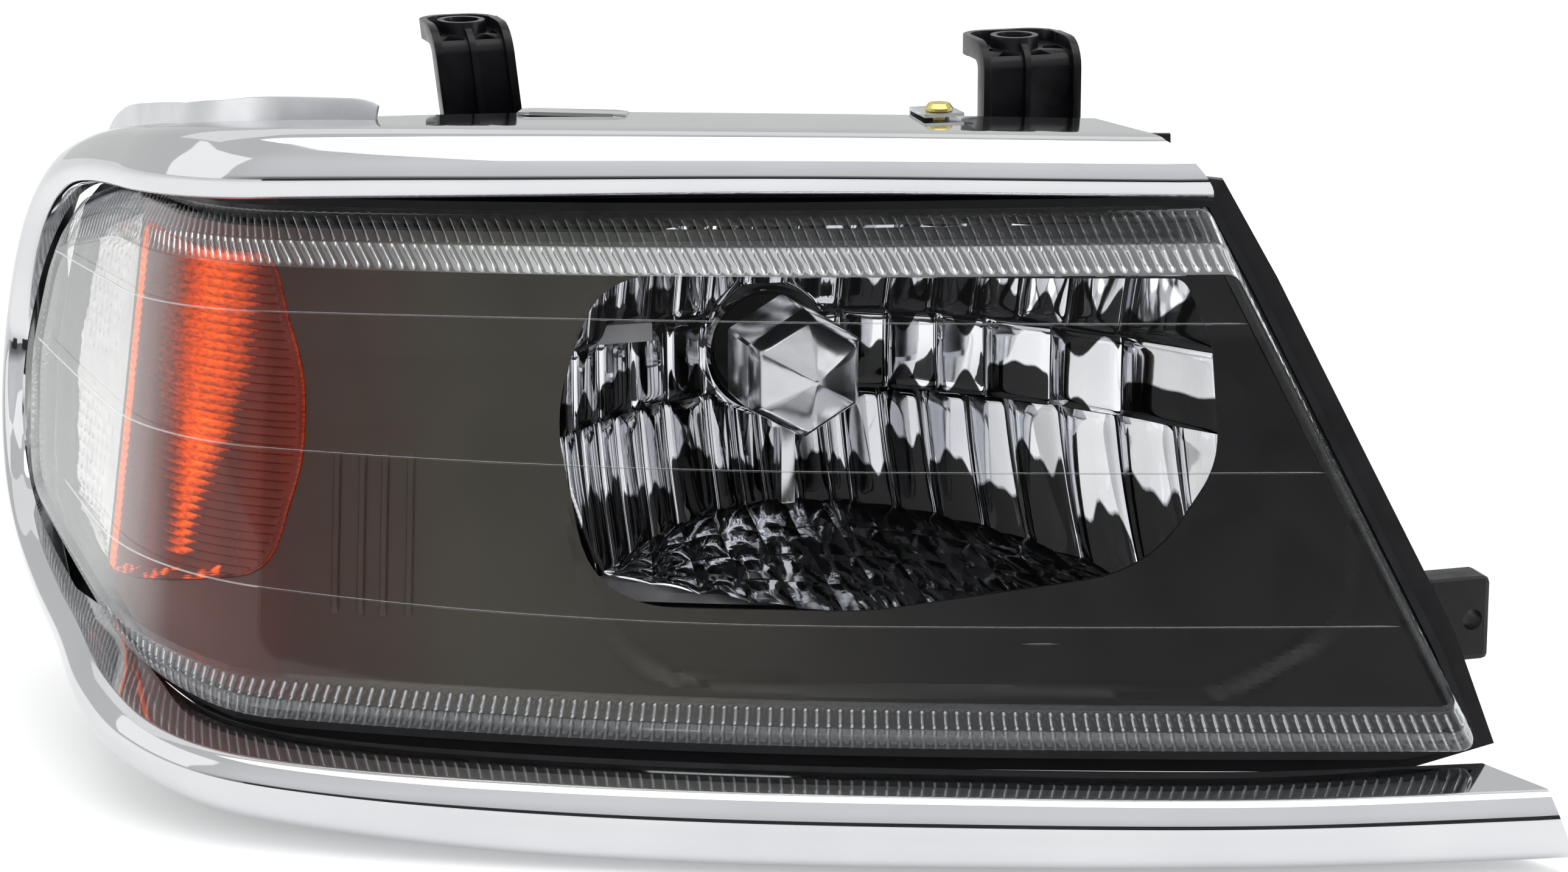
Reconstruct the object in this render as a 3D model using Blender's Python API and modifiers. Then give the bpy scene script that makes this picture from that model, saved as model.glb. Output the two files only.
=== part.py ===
"""Wrap-round car headlight assembly for a vehicle's right-hand front corner.

Frame: +X towards the vehicle's centreline, +Y rearwards, +Z up. All dimensions below are millimetres;
meshes are written in metres. The lens, bezel, mask and seal are laid out on the lamp's skin: s runs
along the plan curve from the inboard end, z is height and d is depth behind the lens face.
"""

import math

import bmesh
import bpy
from mathutils import Matrix, Vector

MM = 0.001
GAP = 0.3
# The object's origin: a point on the inner bracket's ring boss, where the bracket meets the body panel
FRAME_ORIGIN = (82.8, 75.5, 114.0)

# Skin of the lamp: plan curve (start, first heading, arcs as length and radius) and backward lean
SKIN_START = (205.0, -62.0)
SKIN_HEADING = math.radians(13.8)
SKIN_ARCS = ((200.0, 2500.0), (185.0, 870.0), (82.0, 90.0), (160.0, 3000.0))
SKIN_LEAN = math.tan(math.radians(8.0))
SKIN_BASE_Z = -80.0

# Outlines on the skin as rounded polygons: (s, z, corner radius); four corners split the sides
LENS_FACE = (
    (37, -67.5, 4), (395, -64, 150), (552, -38, 26), (566, 1, 26), (552, 37, 28), (480, 54, 90), (103, 57.5, 5),
)
LENS_FACE_CORNERS = (0, 2, 4, 6)
LENS_RIM = (
    (29, -82, 5), (400, -79, 150), (566, -48, 28), (580, 1, 30), (566, 48, 30), (500, 67, 90), (110, 74, 5),
)
LENS_RIM_CORNERS = (0, 2, 4, 6)
MASK_EDGE = ((36, -77, 4), (400, -74, 150), (499, -56, 5), (499, 61.5, 5), (360, 64, 300), (113, 69, 4))
MASK_EDGE_CORNERS = (0, 2, 3, 5)
AMBER_EDGE = ((379.5, -4, 60), (390, -37.5, 22), (494, -54, 4), (494, 55, 4), (393, 56, 12), (379, 22, 60))
AMBER_EDGE_CORNERS = (1, 2, 3, 4)
MARKER_EDGE = ((503, -55, 4), (548, -44, 18), (564, 0, 40), (550, 42, 18), (503, 56, 4))
MARKER_EDGE_CORNERS = (0, 1, 3, 4)
TOP_FLANGE = (
    (120, 71, 1), (515, 64, 1), (520, 75, 1), (486, 84, 8), (440, 90.5, 8), (400, 92.8, 8), (120, 93.4, 1),
)
TOP_FLANGE_CORNERS = (0, 1, 2, 6)
SIDE_STEPS = 26
END_STEPS = 6

# Lens
LENS_WALL = 2.8
BEVEL_DEPTH = 8.0
LENS_DEPTH = 17.2
SEAL_FLOOR = 21.0

# Chrome bezel: inner and outer edge of the front face, (s, z, d), from the top bar round to the bottom bar
BEZEL_INNER = (
    (110, 79.5, -4), (230, 80, -4), (330, 77, -4), (410, 73.2, -4), (460, 70.5, -4), (505, 65.5, -4),
    (538, 57.5, -3), (562, 45, -2), (578, 27, -1), (585, 4, 0), (581, -18, 0), (567, -38, 0), (545, -51, -1), (510, -60, -2),
    (475, -66, -3), (445, -73, -6), (420, -80, -9), (395, -84, -11), (360, -86, -12), (300, -87, -12),
    (200, -88, -12), (100, -89, -12), (14, -87, -12),
)
BEZEL_OUTER = (
    (112, 95, -2), (230, 96, -2), (330, 95, -2), (400, 92.8, -2), (440, 90.3, -2), (486, 84.8, -2),
    (530, 74.5, -2),
    (562, 62, -2), (585, 41, -2), (595, 12, -2), (592, -18, -2), (579, -39, -2), (555, -55, -2), (527, -68, -2),
    (492, -76, -3), (460, -86, -5), (434, -93, -8), (400, -101, -10), (360, -105, -11), (300, -108, -11),
    (200, -109, -11), (100, -109, -11), (6, -107, -11),
)
TOP_END = (112.0, 90.0)
LOWER_END = (14.0, 70.0)
BEZEL_WALL = 2.0
BEZEL_STATIONS = 46
SHELF_Z = 97.0
COLLAR_SPAN = (357.0, 546.0)
COLLAR_HEIGHT = (5.0, 9.0)
COLLAR_DEPTH = (12.0, 14.0)

# Reflector: paraboloid about an axis along Y, with a sloping floor
BEAM_AXIS = (7.0, 17.5)
REFLECTOR_BACK = 106.0
REFLECTOR_FOCUS = 32.0
REFLECTOR_WALL = 3.2
MASK_CLEARANCE = 4.5
REFLECTOR_EDGE = (
    (-50, -46, 14), (92, -45, 40), (117, -6, 30), (114, 30, 30), (107, 56, 8), (-48, 56, 22), (-66, 14, 60),
)
REFLECTOR_EDGE_CORNERS = (0, 2, 4, 5)
OPENING_EDGE = (
    (-62, -43, 26), (12, -43, 90), (90, -31, 44), (111, 0, 30), (110, 34, 20), (103, 53, 6), (-56, 53, 26),
    (-72, 14, 60),
)
BULB_HOLE_R = 17.0

# Aim: pivot line through both ball studs, and the adjuster screw
PIVOT = (72.0, -32.0)
PIVOT_X = (-80.0, 112.0)
STUD_REACH = (146.0, 130.0)
BALL_R = 5.0
ADJUSTER = (-44.0, 44.0)
NUT_Y = 97.0

# Housing: rear wall in plan by skin length, and how much the height shrinks towards the back
REAR_WALL = (
    (20, 126, 112), (70, 112, 138), (110, 92, 149), (200, 20, 150), (300, -62, 150),
    (370, -106, 150), (425, -142, 150), (470, -140, 178), (520, -140, 210), (590, -149, 246),
)
HOUSING_WALL = 2.8
WALL_MIDDLE_Z = -4.0
REAR_SHRINK = 0.82
REAR_Y = 150.0
BOOT_R = 36.0
SIGNAL_SOCKET = (-123.0, 4.0)
MARKER_SOCKET = (200.0, 0.0)
MARKER_WALL_X = -140.0
SOCKET_HOLE_R = 13.0
BOWL_HOLE_R = 11.0
BOWL_WALL = 1.6

# Upper brackets: front face, left and right side, and the pad height
# Brackets: left, right and rib X, front Y, top Z, lean in X per mm of height
BRACKET_OUTER = (-89.5, -65.5, -77.5, 125.0, 116.1, 0.115)
BRACKET_INNER = (62.0, 92.5, 76.5, 61.0, 114.0, 0.0)
BRACKET_FOOT_Z = 76.0
BRACKET_DEPTH = 27.6
BRACKET_RIM = 2.4
BRACKET_RING_Y = 14.5
BRACKET_SCREWS = ((-72.9, 140.0), (76.5, 76.0))
SCREW_R = 1.9
TRIM_SCREW = (40.0, 38.0)
SIDE_MOUNT_X = 184.0
VENT = (-40.0, -46.0)
VENT_R = 4.0

PARTS = "headlight_assembly"
CUTTERS = "cutters"


def clear_scene():
    for obj in list(bpy.data.objects):
        bpy.data.objects.remove(obj, do_unlink=True)
    for name in (PARTS, CUTTERS):
        collection = bpy.data.collections.new(name)
        bpy.context.scene.collection.children.link(collection)


def paint(name, colour, roughness, metallic=0.0, alpha=1.0):
    material = bpy.data.materials.new(name)
    material.use_nodes = True
    shader = material.node_tree.nodes["Principled BSDF"]
    shader.inputs["Base Color"].default_value = (*colour, 1.0)
    shader.inputs["Roughness"].default_value = roughness
    shader.inputs["Metallic"].default_value = metallic
    shader.inputs["Alpha"].default_value = alpha
    return material


# ---------------------------------------------------------------- skin and outlines


def skin_plan(s):
    """Plan point and heading of the skin at length s, in millimetres."""
    x, y = SKIN_START
    heading = SKIN_HEADING
    if s <= 0:
        return x - s * math.cos(heading), y + s * math.sin(heading), heading
    for index, (length, radius) in enumerate(SKIN_ARCS):
        last = index == len(SKIN_ARCS) - 1
        run = s if last else min(s, length)
        turn = run / radius
        x -= radius * (math.sin(heading + turn) - math.sin(heading))
        y += radius * (math.cos(heading) - math.cos(heading + turn))
        heading += turn
        s -= run
        if s <= 0:
            break
    return x, y, heading


def skin(s, z, d):
    x, y, heading = skin_plan(s)
    depth = d + SKIN_LEAN * (z - SKIN_BASE_Z)
    return Vector((x + math.sin(heading) * depth, y + math.cos(heading) * depth, z))


def spaced(points, count):
    """count + 1 points at equal spacing along an open polyline of tuples."""
    points = [Vector(p) for p in points]
    lengths = [0.0]
    for a, b in zip(points, points[1:]):
        lengths.append(lengths[-1] + (b - a).length)
    result = []
    at = 0
    for k in range(count + 1):
        target = lengths[-1] * k / count
        while at < len(points) - 2 and lengths[at + 1] < target:
            at += 1
        span = max(lengths[at + 1] - lengths[at], 1e-9)
        result.append(points[at].lerp(points[at + 1], min((target - lengths[at]) / span, 1.0)))
    return result


def rounded(corners, arc_steps=6):
    """Closed polyline of a rounded polygon, and the index of each corner's middle point."""
    points = []
    middles = []
    count = len(corners)
    for i, (x, y, radius) in enumerate(corners):
        here = Vector((x, y))
        before = Vector(corners[i - 1][:2]) - here
        after = Vector(corners[(i + 1) % count][:2]) - here
        half = before.angle(after) / 2
        reach = min(radius / math.tan(half), 0.48 * before.length, 0.48 * after.length)
        start = here + before.normalized() * reach
        end = here + after.normalized() * reach
        middles.append(len(points) + arc_steps // 2)
        for k in range(arc_steps + 1):
            t = k / arc_steps
            points.append(start * (1 - t) ** 2 + here * 2 * t * (1 - t) + end * t * t)
    return points, middles


def outline(corners, splits, side_steps=SIDE_STEPS, end_steps=END_STEPS):
    """Ring of points: bottom side, far end, top side, near end."""
    points, middles = rounded(corners)
    count = len(points)
    ring = []
    steps = (side_steps, end_steps, side_steps, end_steps)
    for k, number in enumerate(steps):
        first = middles[splits[k]]
        last = middles[splits[(k + 1) % 4]]
        run = [points[(first + i) % count] for i in range((last - first) % count + 1)]
        ring += spaced(run, number)[:-1]
    return ring


def grown(ring, amount):
    """The ring moved outwards by amount along its own normals."""
    count = len(ring)
    area = sum(a.x * b.y - b.x * a.y for a, b in zip(ring, ring[1:] + ring[:1]))
    side = -1.0 if area > 0 else 1.0
    result = []
    for i, point in enumerate(ring):
        along = (ring[(i + 1) % count] - ring[i - 1]).normalized()
        result.append(point + Vector((-along.y, along.x)) * amount * side)
    return result


def flat(ring, d):
    return [Vector((p.x, p.y, d)) for p in ring]


def bent(ring, d):
    return [skin(p.x, p.y, d) for p in ring]


# ---------------------------------------------------------------- meshes


def add_object(name, mesh, material, collection=PARTS):
    obj = bpy.data.objects.new(name, mesh)
    if material:
        mesh.materials.append(material)
    bpy.data.collections[collection].objects.link(obj)
    if collection == CUTTERS:
        obj.hide_render = True
        obj.display_type = "WIRE"
    return obj


def from_bmesh(name, bm, material, collection=PARTS, origin=(0, 0, 0), sharp=35.0, split=False):
    """Object from a bmesh in millimetres; split cuts warped faces into triangles before a Boolean."""
    if split:
        bmesh.ops.triangulate(bm, faces=bm.faces)
    bmesh.ops.recalc_face_normals(bm, faces=bm.faces)
    bmesh.ops.transform(bm, matrix=Matrix.Scale(MM, 4), verts=bm.verts)
    origin = Vector(origin) * MM
    bmesh.ops.translate(bm, vec=-origin, verts=bm.verts)
    mesh = bpy.data.meshes.new(name)
    bm.to_mesh(mesh)
    bm.free()
    mesh.shade_smooth()
    mesh.set_sharp_from_angle(angle=math.radians(sharp))
    obj = add_object(name, mesh, material, collection)
    obj.location = origin
    return obj


def cap_grid(bm, ring_verts, side_steps, end_steps, ring=None, place=Vector):
    """Fill a ring with a four-sided patch; inner points are found in the ring's own layout, then placed."""
    count = len(ring_verts)
    layout = dict(zip(ring_verts, ring or [vert.co.copy() for vert in ring_verts]))

    def at(i):
        return ring_verts[i % count]

    def bottom(i):
        return at(i)

    def top(i):
        return at(2 * side_steps + end_steps - i)

    def near(j):
        return at(count - j)

    def far(j):
        return at(side_steps + j)

    rows = []
    for j in range(end_steps + 1):
        row = []
        for i in range(side_steps + 1):
            if j == 0:
                vert = bottom(i)
            elif j == end_steps:
                vert = top(i)
            elif i == 0:
                vert = near(j)
            elif i == side_steps:
                vert = far(j)
            else:
                u, v = i / side_steps, j / end_steps
                low, high, left, right = (layout[vert] for vert in (bottom(i), top(i), near(j), far(j)))
                point = low * (1 - v) + high * v + left * (1 - u) + right * u
                point -= layout[bottom(0)] * (1 - u) * (1 - v) + layout[bottom(side_steps)] * u * (1 - v)
                point -= layout[top(0)] * (1 - u) * v + layout[top(side_steps)] * u * v
                vert = bm.verts.new(place(point))
            row.append(vert)
        rows.append(row)
    for low, high in zip(rows, rows[1:]):
        for i in range(side_steps):
            bm.faces.new((low[i], low[i + 1], high[i + 1], high[i]))


def join_rings(bm, first, second):
    count = len(first)
    for i in range(count):
        k = (i + 1) % count
        bm.faces.new((first[i], first[k], second[k], second[i]))


def loft(name, rings, material, capped=True, bend=False, caps=None, side_steps=SIDE_STEPS,
         end_steps=END_STEPS, **options):
    """Solid through closed rings; the ends are capped, or joined to each other when not capped.

    With bend, the rings are given as s, z and d, and the finished solid is laid on the skin.
    Caps may give, for both ends, the flat ring and the function that places its points.
    """
    bm = bmesh.new()
    loops = [[bm.verts.new(p) for p in ring] for ring in rings]
    for first, second in zip(loops, loops[1:]):
        join_rings(bm, first, second)
    if capped:
        first_cap, last_cap = caps or ((), ())
        cap_grid(bm, loops[0], side_steps, end_steps, *first_cap)
        cap_grid(bm, loops[-1], side_steps, end_steps, *last_cap)
    else:
        join_rings(bm, loops[-1], loops[0])
    if bend:
        for vert in bm.verts:
            vert.co = skin(*vert.co)
    return from_bmesh(name, bm, material, split=True, **options)


def box(name, low, high, material=None, collection=CUTTERS, bevel=0.0, **options):
    bm = bmesh.new()
    bmesh.ops.create_cube(bm, size=1.0)
    low, high = Vector(low), Vector(high)
    bmesh.ops.scale(bm, vec=high - low, verts=bm.verts)
    bmesh.ops.translate(bm, vec=(low + high) / 2, verts=bm.verts)
    if bevel:
        bmesh.ops.bevel(bm, geom=bm.edges[:], offset=bevel, segments=2, affect="EDGES", profile=0.5)
    return from_bmesh(name, bm, material, collection, **options)


def along(axis, start):
    """Matrix that takes +Z to axis and the origin to start."""
    turn = Vector((0, 0, 1)).rotation_difference(Vector(axis)).to_matrix().to_4x4()
    return Matrix.Translation(Vector(start)) @ turn


def cylinder(
    name, start, axis, length, radius, material=None, collection=CUTTERS, end_radius=None, sides=24, **options
):
    bm = bmesh.new()
    top = radius if end_radius is None else end_radius
    bmesh.ops.create_cone(bm, cap_ends=True, segments=sides, radius1=radius, radius2=top, depth=length)
    bmesh.ops.translate(bm, vec=(0, 0, length / 2), verts=bm.verts)
    bmesh.ops.transform(bm, matrix=along(axis, start), verts=bm.verts)
    return from_bmesh(name, bm, material, collection, **options)


def turned(name, profile, start, axis, material=None, collection=PARTS, steps=32):
    """Screw modifier on a profile of (radius, height) points, closed on itself unless it meets the axis."""
    area = sum(a[0] * b[1] - b[0] * a[1] for a, b in zip(profile, profile[1:] + profile[:1]))
    if area > 0:
        profile = profile[::-1]
    bm = bmesh.new()
    verts = [bm.verts.new((r * MM, 0, h * MM)) for r, h in profile]
    for a, b in zip(verts, verts[1:]):
        bm.edges.new((a, b))
    if profile[0][0] > 0 or profile[-1][0] > 0:
        bm.edges.new((verts[-1], verts[0]))
    mesh = bpy.data.meshes.new(name)
    bm.to_mesh(mesh)
    bm.free()
    obj = add_object(name, mesh, material, collection)
    obj.matrix_world = along(axis, Vector(start) * MM)
    screw = obj.modifiers.new("turn", "SCREW")
    screw.axis = "Z"
    screw.steps = screw.render_steps = steps
    screw.use_merge_vertices = True
    screw.merge_threshold = 0.00001
    return obj


def combine(target, tools, operation):
    for tool in tools:
        modifier = target.modifiers.new(tool.name, "BOOLEAN")
        modifier.operation = operation
        modifier.solver = "EXACT"
        modifier.object = tool
    return target


def united(target, *tools):
    return combine(target, tools, "UNION")


def cut(target, *tools):
    return combine(target, tools, "DIFFERENCE")


def prism_y(name, corners, low, high, **options):
    """Rounded polygon in X and Z, extruded along Y, as a cutter."""
    points, _ = rounded(corners)
    bm = bmesh.new()
    front = [bm.verts.new((p.x, low, p.y)) for p in points]
    back = [bm.verts.new((p.x, high, p.y)) for p in points]
    bm.faces.new(front)
    bm.faces.new(back)
    join_rings(bm, front, back)
    return from_bmesh(name, bm, None, CUTTERS, **options)


# ---------------------------------------------------------------- lens, seal and housing


def build_lens(clear):
    face = outline(LENS_FACE, LENS_FACE_CORNERS)
    rim = outline(LENS_RIM, LENS_RIM_CORNERS)
    rings = [
        flat(face, 0), flat(grown(face, 1.5), 0.9), flat(grown(rim, -1.0), BEVEL_DEPTH - 0.8),
        flat(rim, BEVEL_DEPTH + 0.6), flat(rim, LENS_DEPTH), flat(grown(rim, -LENS_WALL), LENS_DEPTH),
        flat(grown(rim, -LENS_WALL), BEVEL_DEPTH + 2.0), flat(grown(face, -0.4), LENS_WALL),
    ]
    return loft("lens", rings, clear, bend=True)


def build_seal(butyl):
    rim = outline(LENS_RIM, LENS_RIM_CORNERS)
    low, high = LENS_DEPTH + GAP, SEAL_FLOOR - GAP
    outer, inner = grown(rim, 0.5), grown(rim, -4.4)
    rings = [flat(outer, low), flat(outer, high), flat(inner, high), flat(inner, low)]
    return loft("lens_seal", rings, butyl, capped=False, bend=True)


def rear_plan(s, inset):
    """Plan point of the housing's rear wall for skin length s, moved forwards by inset."""
    knots = REAR_WALL
    s = min(max(s, knots[0][0]), knots[-1][0])
    k = 0
    while k < len(knots) - 2 and knots[k + 1][0] < s:
        k += 1
    a, b = Vector(knots[k][1:]), Vector(knots[k + 1][1:])
    t = (s - knots[k][0]) / (knots[k + 1][0] - knots[k][0])
    run = (b - a).normalized()
    return a.lerp(b, t) - Vector((run.y, -run.x)) * inset


def body_point(p, d, t, shrink, inset):
    """Point a share t of the way from the skin at depth d to the rear wall."""
    plan = skin(p.x, p.y, d).xy.lerp(rear_plan(p.x, inset), t)
    return Vector((plan.x, plan.y, WALL_MIDDLE_Z + (p.y - WALL_MIDDLE_Z) * shrink))


def body_ring(ring, d, t, shrink, inset):
    return [body_point(p, d, t, shrink, inset) for p in ring]


def build_housing(plastic):
    rim = outline(LENS_RIM, LENS_RIM_CORNERS)
    lip, channel, rail = grown(rim, 3.2), grown(rim, 0.9), grown(rim, 9.0)
    body, inside = grown(rim, -1.6), grown(rim, -5.0)
    back = SEAL_FLOOR + 5.0
    outer = [bent(lip, 12.5), bent(lip, 19.5), bent(rail, 20.0), bent(rail, SEAL_FLOOR + 2.6), bent(body, back)]
    taper = ((0.45, 0.97), (0.9, 0.9), (1.0, REAR_SHRINK))
    outer += [body_ring(body, back, t, shrink, 0) for t, shrink in taper]
    inner = [bent(channel, 12.5), bent(channel, SEAL_FLOOR), bent(inside, SEAL_FLOOR), bent(inside, back)]
    shares = ((0.45, 0.97), (0.88, 0.9), (1.0, REAR_SHRINK))
    inner += [body_ring(inside, back, t, shrink, HOUSING_WALL * t) for t, shrink in shares]
    caps = (
        (body, lambda p: body_point(p, back, 1.0, REAR_SHRINK, 0)),
        (inside, lambda p: body_point(p, back, 1.0, REAR_SHRINK, HOUSING_WALL)),
    )
    housing = loft("housing", outer[::-1] + inner, plastic, caps=caps)
    x, z = BEAM_AXIS
    sx, sz = SIGNAL_SOCKET
    my, mz = MARKER_SOCKET
    ax, az = ADJUSTER
    boss = TRIM_SCREW
    flange = outline(TOP_FLANGE, TOP_FLANGE_CORNERS, 16, 2)
    joined = [
        loft("top_flange", [flat(flange, SEAL_FLOOR + GAP), flat(flange, SEAL_FLOOR + 2.4)], None, bend=True,
             side_steps=16, end_steps=2, collection=CUTTERS),
        cylinder("boot_collar", (x, REAR_Y - 2, z), (0, 1, 0), 9, BOOT_R + 3, sides=40),
        cylinder("adjuster_boss", (ax, 138, az), (0, 1, 0), 14, 7),
        cylinder("signal_boss", (sx, REAR_Y - 2, sz), (0, 1, 0), 5, SOCKET_HOLE_R + 3, sides=32),
        cylinder("marker_boss", (MARKER_WALL_X - 2, my, mz), (1, 0, 0), 5, SOCKET_HOLE_R + 3, sides=32),
        cylinder("trim_boss", (boss[0], boss[1], 66), (0, 0, 1), 28, 5),
        box("outer_pedestal", (-88, 122, 52), (-57, 147, BRACKET_FOOT_Z - GAP)),
        box("inner_pedestal", (60, 60, 58), (93, 90, BRACKET_FOOT_Z - GAP)),
        box("side_pedestal", (156, 2, -73), (SIDE_MOUNT_X - GAP, 20, -43), bevel=2.0),
    ]
    for px, reach in zip(PIVOT_X, STUD_REACH):
        joined.append(cylinder("stud_boss", (px, reach - 7, PIVOT[1]), (0, 1, 0), 9.5, 6.0))
    united(housing, *joined)
    removed = [
        cylinder("boot_hole", (x, 120, z), (0, 1, 0), 60, BOOT_R, sides=40),
        cylinder("adjuster_hole", (ax, 130, az), (0, 1, 0), 40, 3.6),
        cylinder("signal_hole", (sx, 130, sz), (0, 1, 0), 40, SOCKET_HOLE_R, sides=32),
        cylinder("marker_hole", (MARKER_WALL_X - 18, my, mz), (1, 0, 0), 40, SOCKET_HOLE_R, sides=32),
        cylinder("trim_screw_hole", (boss[0], boss[1], 80), (0, 0, 1), 20, 2.4),
        cylinder("vent_hole", (VENT[0], 140, VENT[1]), (0, 1, 0), 20, VENT_R + GAP),
    ]
    for px, reach in zip(PIVOT_X, STUD_REACH):
        removed.append(cylinder("stud_bore", (px, reach - 12, PIVOT[1]), (0, 1, 0), 12 + GAP, 3.0 + GAP))
    for bx, by in BRACKET_SCREWS:
        removed.append(cylinder("bracket_pilot", (bx, by, 62), (0, 0, 1), 20, SCREW_R + GAP))
    return cut(housing, *removed)


# ---------------------------------------------------------------- chrome bezel


def curve_through(knots, count):
    """Points of a Catmull-Rom curve through the knots, equally spread in parameter."""
    knots = [Vector(k) for k in knots]
    padded = [knots[0] * 2 - knots[1]] + knots + [knots[-1] * 2 - knots[-2]]
    result = []
    for i in range(count + 1):
        u = i / count * (len(knots) - 1)
        k = min(int(u), len(knots) - 2)
        t = u - k
        a, b, c, d = padded[k:k + 4]
        result.append(
            (b * 2 + (c - a) * t + (a * 2 - b * 5 + c * 4 - d) * t * t + (b * 3 - a - c * 3 + d) * t ** 3) / 2
        )
    return result


def clamped(value):
    return max(0.0, min(1.0, value))


def bezel_section(inner, outer, share):
    """Front lip, crowned face, rounded outer corner and rear wall, at one station of the bezel."""
    across = Vector((outer.x - inner.x, outer.y - inner.y))
    width = across.length
    across.normalize()
    top = clamped((0.42 - share) / 0.04)
    side = math.exp(-(((share - 0.46) / 0.12) ** 2))
    bottom = clamped((share - 0.6) / 0.06)
    back = 21.0 * (1 - top) + top * (16.0 + 14.0 * (1 - clamped((outer.x - 300.0) / 80.0)))
    lip_return = 9.0 - 7.0 * side + 12.0 * bottom
    low, high = inner.lerp(outer, 0.3).z - 2.4, inner.lerp(outer, 0.62).z - 2.2
    profile = (
        (-0.4 - 1.6 * bottom, min(inner.z + lip_return, 11.0)), (0.0, inner.z + 1.6), (1.4, inner.z), (0.3 * width, low),
        (0.62 * width, high), (width - 1.8, outer.z + 0.2), (width + 0.8, outer.z + 3.0),
        (width + 1.4, outer.z + 7.0), (width + 2.0, outer.z + back),
    )
    near_top = clamped(1 - (inner.x - TOP_END[0]) / TOP_END[1]) if share < 0.3 else 0.0
    near_low = clamped(1 - (inner.x - LOWER_END[0]) / LOWER_END[1]) if share > 0.7 else 0.0
    points = []
    for a, d in profile:
        s = inner.x + across.x * a
        s += near_top * (0.66 * max(0.0, d + 2.0) + 10.0 * clamped((a - 2.0) / (width - 2.0)) ** 1.6)
        s += near_low * 0.8 * max(0.0, d + 9.0)
        points.append(skin(s, inner.y + across.y * a, d))
    return points


def collar():
    """Upright wall on the shelf round the outer top corner, rising and falling at its ends."""
    count = 220
    inner, outer = curve_through(BEZEL_INNER, count), curve_through(BEZEL_OUTER, count)
    start, end = COLLAR_SPAN
    bm = bmesh.new()
    rows = []
    for a, b in list(zip(inner, outer))[:int(0.4 * count):2]:
        if not start <= b.x <= end:
            continue
        across = Vector((b.x - a.x, b.y - a.y)).normalized()
        near, far = clamped((b.x - start) / 14.0), clamped((end - b.x) / 22.0)
        low, high = COLLAR_HEIGHT
        height = low + (high - low) * clamped((b.x - start - 14.0) / 80.0)
        height = 0.8 + height * math.sqrt(1 - (1 - near) ** 2) * math.sqrt(1 - (1 - far) ** 2)
        corners = [(0.8, COLLAR_DEPTH[0]), (2.0 + height, COLLAR_DEPTH[0])]
        corners += [(2.0 + height, COLLAR_DEPTH[1]), (0.8, COLLAR_DEPTH[1])]
        rows.append([bm.verts.new(skin(b.x + across.x * h, b.y + across.y * h, d)) for h, d in corners])
    for first, second in zip(rows, rows[1:]):
        join_rings(bm, first, second)
    bm.faces.new(rows[0])
    bm.faces.new(rows[-1])
    return from_bmesh("collar", bm, None, CUTTERS)


def build_bezel(chrome):
    inner = curve_through(BEZEL_INNER, BEZEL_STATIONS)
    outer = curve_through(BEZEL_OUTER, BEZEL_STATIONS)
    bm = bmesh.new()
    rows = []
    for k, (a, b) in enumerate(zip(inner, outer)):
        rows.append([bm.verts.new(p) for p in bezel_section(a, b, k / BEZEL_STATIONS)])
    for first, second in zip(rows, rows[1:]):
        for i in range(len(first) - 1):
            bm.faces.new((first[i], second[i], second[i + 1], first[i + 1]))
    bezel = from_bmesh("chrome_bezel", bm, chrome)
    thick = bezel.modifiers.new("wall", "SOLIDIFY")
    thick.thickness = BEZEL_WALL * MM
    thick.offset = -1.0
    thick.use_even_offset = True
    united(bezel, collar())
    x, y = TRIM_SCREW
    return cut(bezel, cylinder("bezel_screw_hole", (x, y, SHELF_Z - 6), (0, 0, 1), 12, SCREW_R + GAP))


# ---------------------------------------------------------------- inner trim


def skin_plate(
    name, corners, splits, front, back, material, side_steps=SIDE_STEPS, end_steps=END_STEPS, grow=0.0
):
    ring = grown(outline(corners, splits, side_steps, end_steps), grow)
    rings = [flat(ring, front), flat(ring, back)]
    return loft(name, rings, material, bend=True, side_steps=side_steps, end_steps=end_steps)


def build_mask(satin):
    mask = skin_plate("bezel_mask", MASK_EDGE, MASK_EDGE_CORNERS, 13.0, 15.2, satin)
    amber = outline(AMBER_EDGE, AMBER_EDGE_CORNERS, 12, 8)
    hole_rings = [flat(amber, 8.0), flat(amber, 20.0)]
    hole = loft("amber_hole", hole_rings, None, bend=True, side_steps=12, end_steps=8, collection=CUTTERS)
    return cut(mask, prism_y("reflector_opening", OPENING_EDGE, -60, 110), hole)


def build_amber(amber_clear):
    ring = grown(outline(AMBER_EDGE, AMBER_EDGE_CORNERS, 12, 8), -0.5)
    inner = grown(ring, -2.2)
    rings = [
        flat(grown(ring, -1.2), 10.6), flat(ring, 12.0), flat(ring, 20.0), flat(inner, 20.0),
        flat(inner, 14.4), flat(grown(inner, -1.5), 13.0),
    ]
    return loft("amber_lens", rings, amber_clear, bend=True, side_steps=12, end_steps=8)


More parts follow.
